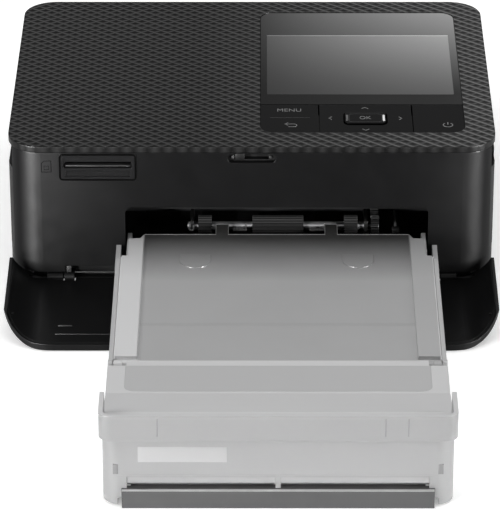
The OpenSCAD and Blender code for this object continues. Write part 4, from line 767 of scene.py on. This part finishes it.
class PRINTER_OT_panel(bpy.types.Operator):
    """Adds the screen, a painted highlight along its rear edge, the legends of the keys, and the rim of the
    middle key with painted highlights at its ends
    """
    bl_idname = "printer.panel"
    bl_label = "Control panel"

    def execute(self, context):
        rise = settings().legend_rise
        top = PANEL_HIGH.z
        x, y = (LCD_HIGH.x + LCD_LOW.x) / 2, (LCD_HIGH.y + LCD_LOW.y) / 2
        w, d = LCD_HIGH.x - LCD_LOW.x, LCD_HIGH.y - LCD_LOW.y
        screen = moved(slab(rounded_outline(w, d, 0.6), 0.04), x, y, top - 0.01)
        finish_piece(screen, "screen_area", "screen", "printer")
        # painted highlight along the screen's rear edge
        edge = moved(slab(rounded_outline(w, 0.7, 0.3), 0.05, 0.02), x, LCD_HIGH.y - 0.3, top)
        finish_piece(edge, "screen_rear_painted_highlight", "edge_light", "printer")

        key_x, key_z = (MENU_LOW.x + MENU_HIGH.x) / 2, MENU_HIGH.z
        word("MENU", 9.0, 2.5, key_x, KEY_HIGH.y - 4.4, key_z, "menu_word", "menu_key")
        divider = moved(slab(rounded_outline(15.0, 0.22, 0.1), rise), key_x + 0.2, -40.9, key_z)
        finish_piece(divider, "menu_divider", "print_dim", "menu_key")
        bend = arc(1.1, -1.2, 1.2, range(90, -91, -20))
        bm = stroke([(-2.2, 0.0), *bend, (-1.0, -2.4)], 0.34, rise)
        join(bm, stroke([(-1.0, 1.15), (-2.3, 0.0), (-1.0, -1.15)], 0.34, rise))
        finish_piece(moved(bm, key_x + 0.5, -46.4, key_z), "back_arrow", "print_grey", "menu_key")

        ok_x, ok_y, ok_z = (OK_LOW.x + OK_HIGH.x) / 2, (OK_LOW.y + OK_HIGH.y) / 2, OK_HIGH.z
        word("OK", 4.4, 2.5, ok_x, ok_y + 0.1, ok_z, "ok_word", "ok_key")
        ring = moved(ring_plate(12.6, 7.0, 1.3, 0.25, 0.1, 0.03), ok_x, ok_y, ok_z - 0.07)
        finish_piece(ring, "ok_rim", "side_grey", "ok_key")
        # painted highlights: pale slivers at the ends of the rim stand in for its highlights
        for name, out, finish in (("ok_rim_highlight_left", -6.9, "side_light"), ("ok_rim_highlight_right", 6.9, "bright_rim")):
            end = moved(slab(rounded_outline(0.8, 5.2, 0.35), 0.12, 0.04), ok_x + out, ok_y, ok_z - 0.06)
            finish_piece(end, name, finish, "ok_key")
        for name, dx, dy, turn in (("arrow_up", 0, 9.4, 0), ("arrow_down", 0, -9.4, 180),
                                   ("arrow_left", -13.2, 0.5, 90), ("arrow_right", 13.2, 0.4, -90)):
            bm = turned(stroke([(-1.25, -0.55), (0, 0.55), (1.25, -0.55)], 0.36, rise), turn, "Z")
            finish_piece(moved(bm, ok_x + dx, ok_y + dy, KEY_HIGH.z), name, "print_grey", "pad_key")

        bm = stroke(arc(0, 0, 1.75, range(55, -231, -15)), 0.4, rise)
        join(bm, stroke([(0, 0.3), (0, 2.2)], 0.4, rise))
        sign = moved(bm, POWER_HIGH.x - 6.3, POWER_LOW.y + 6.9, POWER_HIGH.z)
        finish_piece(sign, "power_sign", "print_grey", "power_key")
        return {"FINISHED"}


class PRINTER_OT_card_slot(bpy.types.Operator):
    """Adds the dark rim of the surround, the card guide and the shelf in it, and the card sign"""
    bl_idname = "printer.card_slot"
    bl_label = "Card slot"

    def execute(self, context):
        x, z = (BEZEL_LOW.x + BEZEL_HIGH.x) / 2, (BEZEL_LOW.z + BEZEL_HIGH.z) / 2
        w, h = BEZEL_HIGH.x - BEZEL_LOW.x, BEZEL_HIGH.z - BEZEL_LOW.z
        ring = moved(ring_plate(w - 0.1, h - 0.1, 1.45, 0.65, 0.08, 0.03), x, z, 0)
        finish_piece(upright(ring, BEZEL_LOW.y), "slot_rim", "rim_dark", "printer")
        guide = block((x - 12.2, FACE_Y + 0.6, z - 0.15), (x + 12.2, FACE_Y + 3.0, z + 0.25), 0.1)
        finish_piece(guide, "card_guide", "side_light", "printer")
        shelf = block((x - 12.4, FACE_Y + 0.2, z + 2.0), (x + 12.4, FACE_Y + 2.4, z + 2.35), 0.1)
        finish_piece(shelf, "slot_shelf", "bezel", "printer")
        card = [(-1.8, -2.3), (1.8, -2.3), (1.8, 2.3), (-0.7, 2.3), (-1.8, 1.2)]
        label = [(-0.8, 0.2), (0.9, 0.2), (0.9, -1.3), (-0.8, -1.3)]
        bm = stroke(card, 0.28, 0.04, closed=True)
        join(bm, stroke(label, 0.22, 0.04, closed=True))
        sign = upright(moved(bm, -76.5, 49.5, 0), FACE_Y)
        finish_piece(sign, "card_sign", "rim_dark", "printer")
        return {"FINISHED"}


class PRINTER_OT_catch(bpy.types.Operator):
    """Adds the spring clips and the slide that show in the catch's window"""
    bl_idname = "printer.catch"
    bl_label = "Cover catch"

    def execute(self, context):
        z = 52.6
        for name, x, finish in (("catch_clip_1", -7.0, "tab_grey"), ("catch_clip_2", 7.0, "side_light")):
            clip = rod((x, FACE_Y + 1.6, z), (x, FACE_Y + 3.2, z), 0.55)
            finish_piece(clip, name, finish, "printer")
        slide = block((-6.2, FACE_Y + 1.6, z - 1.3), (-2.6, FACE_Y + 3.0, z + 1.6), 0.3)
        finish_piece(slide, "catch_slide", "dark_plastic", "printer")
        return {"FINISHED"}


class PRINTER_OT_corners(bpy.types.Operator):
    """Adds painted highlights as grey strips at the casing's corners, the hinge lug, a painted highlight
    line by it, and a dark strip under the front as painted shade
    """
    bl_idname = "printer.corners"
    bl_label = "Corner strips"

    def execute(self, context):
        base, height = 12.7, 33.5
        outer = arc(CORNER_X, CORNER_Y, CORNER_RADIUS + 0.06, range(0, -33, -3))
        inner = arc(CORNER_X, CORNER_Y, CORNER_RADIUS - 0.3, range(-30, 1, 3))
        # painted highlight: a grey strip on the last part of each rounded corner stands in for the light
        # reflected there
        for side, name in SIDES:
            strip = moved(slab([(side * x, y) for x, y in outer + inner], height), 0, 0, base)
            finish_piece(strip, f"side_strip_{name}", "side_grey", "printer")
        lug = block((-69.9, FACE_Y - 0.2, 5.0), (-68.1, FACE_Y + 0.6, 7.6), 0.2)
        finish_piece(lug, "hinge_lug", "side_light", "printer")
        # painted highlight: a light line along the casing's lower edge
        line = block((-66.8, FACE_Y - 0.15, 4.9), (-51.0, FACE_Y + 0.3, 5.2), 0.05)
        finish_piece(line, "hinge_edge_highlight", "side_light", "printer")
        # painted shade: a dark sheet under the casing's front, where only shade falls, keeps the pale floor
        # from showing
        strip = block((-88.0, -62.5, 0.4), (88.0, -47.0, 0.9))
        finish_piece(strip, "painted_shade_strip", "dark_plastic", "printer")
        return {"FINISHED"}


class PRINTER_OT_front_cover(bpy.types.Operator):
    """Adds the bead round the open front cover, and the ribs and stops on its inner face"""
    bl_idname = "printer.front_cover"
    bl_label = "Front cover"

    def execute(self, context):
        inset = settings().rim_inset
        half = COVER_HIGH.x - inset
        tip = COVER_LOW.y + inset
        corner = 19.0 - inset
        inner = 2.7     # inner face of the cover's flat middle
        bend = 13.1     # radius of its sides

        def height(x):
            """Height of the cover's inner face at a distance from its middle."""
            out = max(abs(x) - CORNER_X, 0.0)
            return inner + bend - math.sqrt(max(bend ** 2 - out ** 2, 0.0))

        flat = [(-half, -66.0 - 3.0 * k) for k in range(12)]
        flat += arc(corner - half, tip + corner, corner, [180 + 7.5 * k for k in range(13)])
        path = [(x, y, height(x) - 0.2) for x, y in flat]
        path += [(-x, y, z) for x, y, z in reversed(path)]
        bead(path, 0.34, "cover_bead", "cover", "front_cover")
        rib = block((-72.2, -110.95, inner - 0.1), (66.0, -110.4, inner + 0.12), 0.1)
        finish_piece(rib, "cover_long_rib", "casing", "front_cover")
        rib = block((-71.4, -104.75, inner - 0.1), (-66.2, -104.2, inner + 0.3), 0.1)
        finish_piece(rib, "cover_short_rib", "print_dim", "front_cover")
        stop_x = 88.2
        for side, name in SIDES:
            bm = bmesh.new()
            bmesh.ops.create_uvsphere(bm, u_segments=16, v_segments=10, radius=0.75)
            bmesh.ops.scale(bm, vec=(1, 1, 0.4), verts=bm.verts)
            stop = moved(bm, side * stop_x, -102.6, height(stop_x))
            finish_piece(stop, f"cover_stop_{name}", "casing", "front_cover")
        return {"FINISHED"}


class PRINTER_OT_cassette(bpy.types.Operator):
    """Adds the fine lines, plates, ribs and hooks of the paper cassette, with painted highlights along the
    inner cover's rear edge and the foot bar's edge, and pale fillers as painted light in the gaps beside the
    bands
    """
    bl_idname = "printer.cassette"
    bl_label = "Paper cassette"

    def execute(self, context):
        front = TRAY_LOW.y
        # a slightly darker line across the middle of the inner cover
        line = block((PATH_X - MIDDLE_HALF, -137.0, MIDDLE_Z - 0.1),
                     (PATH_X + MIDDLE_HALF, -134.8, MIDDLE_Z + 0.015))
        finish_piece(line, "dark_cross_line", "guide_smoke", "inner_cover")
        # painted highlight: a pale line along the inner cover's rear edge and round its tabs
        rear = INNER_HIGH.y - 8.4
        edge = [(-MIDDLE_HALF, rear), (-22.8, rear), (-22.8, rear + 8.2), (-18.2, rear + 8.2), (-18.2, rear)]
        edge += [(-x, y) for x, y in reversed(edge)]
        line = moved(stroke(edge, 0.36, 0.05), PATH_X, 0, MIDDLE_Z)
        finish_piece(line, "rear_edge_highlight", "edge_smoke", "inner_cover")
        # painted highlight: a pale line along the foot bar's upper front edge
        line = block((FOOT_LOW.x + 0.1, FOOT_LOW.y - 0.03, FOOT_HIGH.z - 0.35),
                     (FOOT_HIGH.x - 0.1, FOOT_LOW.y + 1.0, FOOT_HIGH.z + 0.03), 0.06)
        finish_piece(line, "bar_edge_highlight", "edge_smoke", "cassette")
        for side, name in SIDES:
            x = PATH_X + side * 55.1
            hook = block((x - 0.9, front - 0.12, 12.6), (x + 0.9, front + 0.5, 16.4), 0.12)
            finish_piece(hook, f"side_hook_{name}", "hook_grey", "cassette")
            # painted light: a pale filler in the gap beside each band hides the gap's shade
            x = PATH_X + side * (INNER_GAP + 0.1)
            band = block((x - 0.2, -163.5, 20.8), (x + 0.2, -86.0, 21.85))
            finish_piece(band, f"band_gap_painted_fill_{name}", "light_smoke", "inner_cover")
        post = block((PATH_X - 1.0, front + 0.1, 8.6), (PATH_X + 1.0, front + 0.75, 12.6), 0.2)
        finish_piece(post, "slot_post", "lip_smoke", "cassette")
        outline = [(53.5, -171.3), *arc(50.0, -185.8, 3.5, range(0, -91, -15))]
        outline += [(-x, y) for x, y in reversed(outline)]
        plate = moved(slab(outline, 0.05), 9.5, 0, OUTER_Z)
        finish_piece(plate, "outer_panel", "panel_smoke", "outer_cover")
        lintel = block((PATH_X - 51.2, front + 0.3, 8.95), (PATH_X + 51.2, front + 0.78, 11.2))
        finish_piece(lintel, "slot_lintel", "panel_smoke", "cassette")
        line = block((PATH_X - 54.5, front - 0.03, 12.1), (PATH_X + 53.0, front + 0.2, 12.35))
        finish_piece(line, "base_line", "panel_smoke", "cassette")
        plate = block((-38.1, front - 0.03, 17.3), (-8.0, front + 0.2, 23.3), 0.02)
        finish_piece(plate, "label_plate", "label_smoke", "cassette")
        lip = OUTER_LOW.y
        for k, x in enumerate((-31.4, 45.5, 53.2)):
            rib = block((x - 0.25, lip - 0.05, 28.2), (x + 0.25, lip + 0.3, 35.2), 0.08)
            finish_piece(rib, f"lip_rib_{k + 1}", "shade_smoke", "outer_cover")
        return {"FINISHED"}


class PRINTER_OT_mechanism(bpy.types.Operator):
    """Adds the small parts that show inside the paper opening"""
    bl_idname = "printer.mechanism"
    bl_label = "Mechanism details"

    def execute(self, context):
        front, back, foot = -58.2, -57.7, 18.2
        teeth = 6
        for k, (x0, x1, post) in enumerate(((-7.2, -1.9, -2.2), (21.7, 27.2, 27.4))):
            bm = block((x0, front - 0.1, foot), (x1, back + 0.1, foot + 0.7), 0.1)
            for step in range(teeth):
                x = x0 + (x1 - x0) * (step + 0.5) / teeth
                join(bm, block((x - 0.25, front, foot + 0.5), (x + 0.25, back, foot + 1.2), 0.06))
            join(bm, block((post - 0.25, front, foot), (post + 0.25, back, foot + 3.4), 0.08))
            finish_piece(bm, f"spring_tab_{k + 1}", "tab_grey", "printer")
        bm = block((-23.8, front, foot), (-23.3, back, foot + 3.2), 0.08)
        join(bm, block((-23.8, front, foot), (-21.8, back, foot + 0.6), 0.08))
        join(bm, block((-22.3, front, foot), (-21.8, back, foot + 2.4), 0.08))
        finish_piece(bm, "spring_tab_3", "tab_grey", "printer")
        sensor = block((53.0, -56.4, 16.4), (55.8, -54.0, 18.2), 0.3)
        finish_piece(sensor, "sensor_block", "side_grey", "printer")
        arm = block((54.0, -54.4, 16.6), (54.8, -33.4, 17.6), 0.1)
        finish_piece(arm, "sensor_arm", "steel", "printer")
        return {"FINISHED"}


class PRINTER_PT_panel(bpy.types.Panel):
    """Lists the settings and the steps that dress the printer"""
    bl_label = "Photo printer"
    bl_idname = "PRINTER_PT_panel"
    bl_space_type = "VIEW_3D"
    bl_region_type = "UI"
    bl_category = "Printer"

    def draw(self, context):
        for group in (context.scene.photo_printer, context.scene.printer_lattice):
            for name in group.__annotations__:
                self.layout.prop(group, name)
        for step in STEPS:
            self.layout.operator(step.bl_idname)


STEPS = (PRINTER_OT_stage, PRINTER_OT_finishes, PRINTER_OT_panel, PRINTER_OT_card_slot, PRINTER_OT_catch,
         PRINTER_OT_corners, PRINTER_OT_front_cover, PRINTER_OT_cassette, PRINTER_OT_mechanism)
CLASSES = (LatticeSettings, PrinterSettings, *STEPS, PRINTER_PT_panel)


def register():
    for cls in CLASSES:
        bpy.utils.register_class(cls)
    bpy.types.Scene.photo_printer = PointerProperty(type=PrinterSettings)
    bpy.types.Scene.printer_lattice = PointerProperty(type=LatticeSettings)


def unregister():
    del bpy.types.Scene.printer_lattice
    del bpy.types.Scene.photo_printer
    for cls in reversed(CLASSES):
        bpy.utils.unregister_class(cls)


def main():
    register()
    bpy.ops.printer.stage()
    bpy.ops.printer.finishes()
    bpy.ops.printer.panel()
    bpy.ops.printer.card_slot()
    bpy.ops.printer.catch()
    bpy.ops.printer.corners()
    bpy.ops.printer.front_cover()
    bpy.ops.printer.cassette()
    bpy.ops.printer.mechanism()


if __name__ == "__main__":
    main()
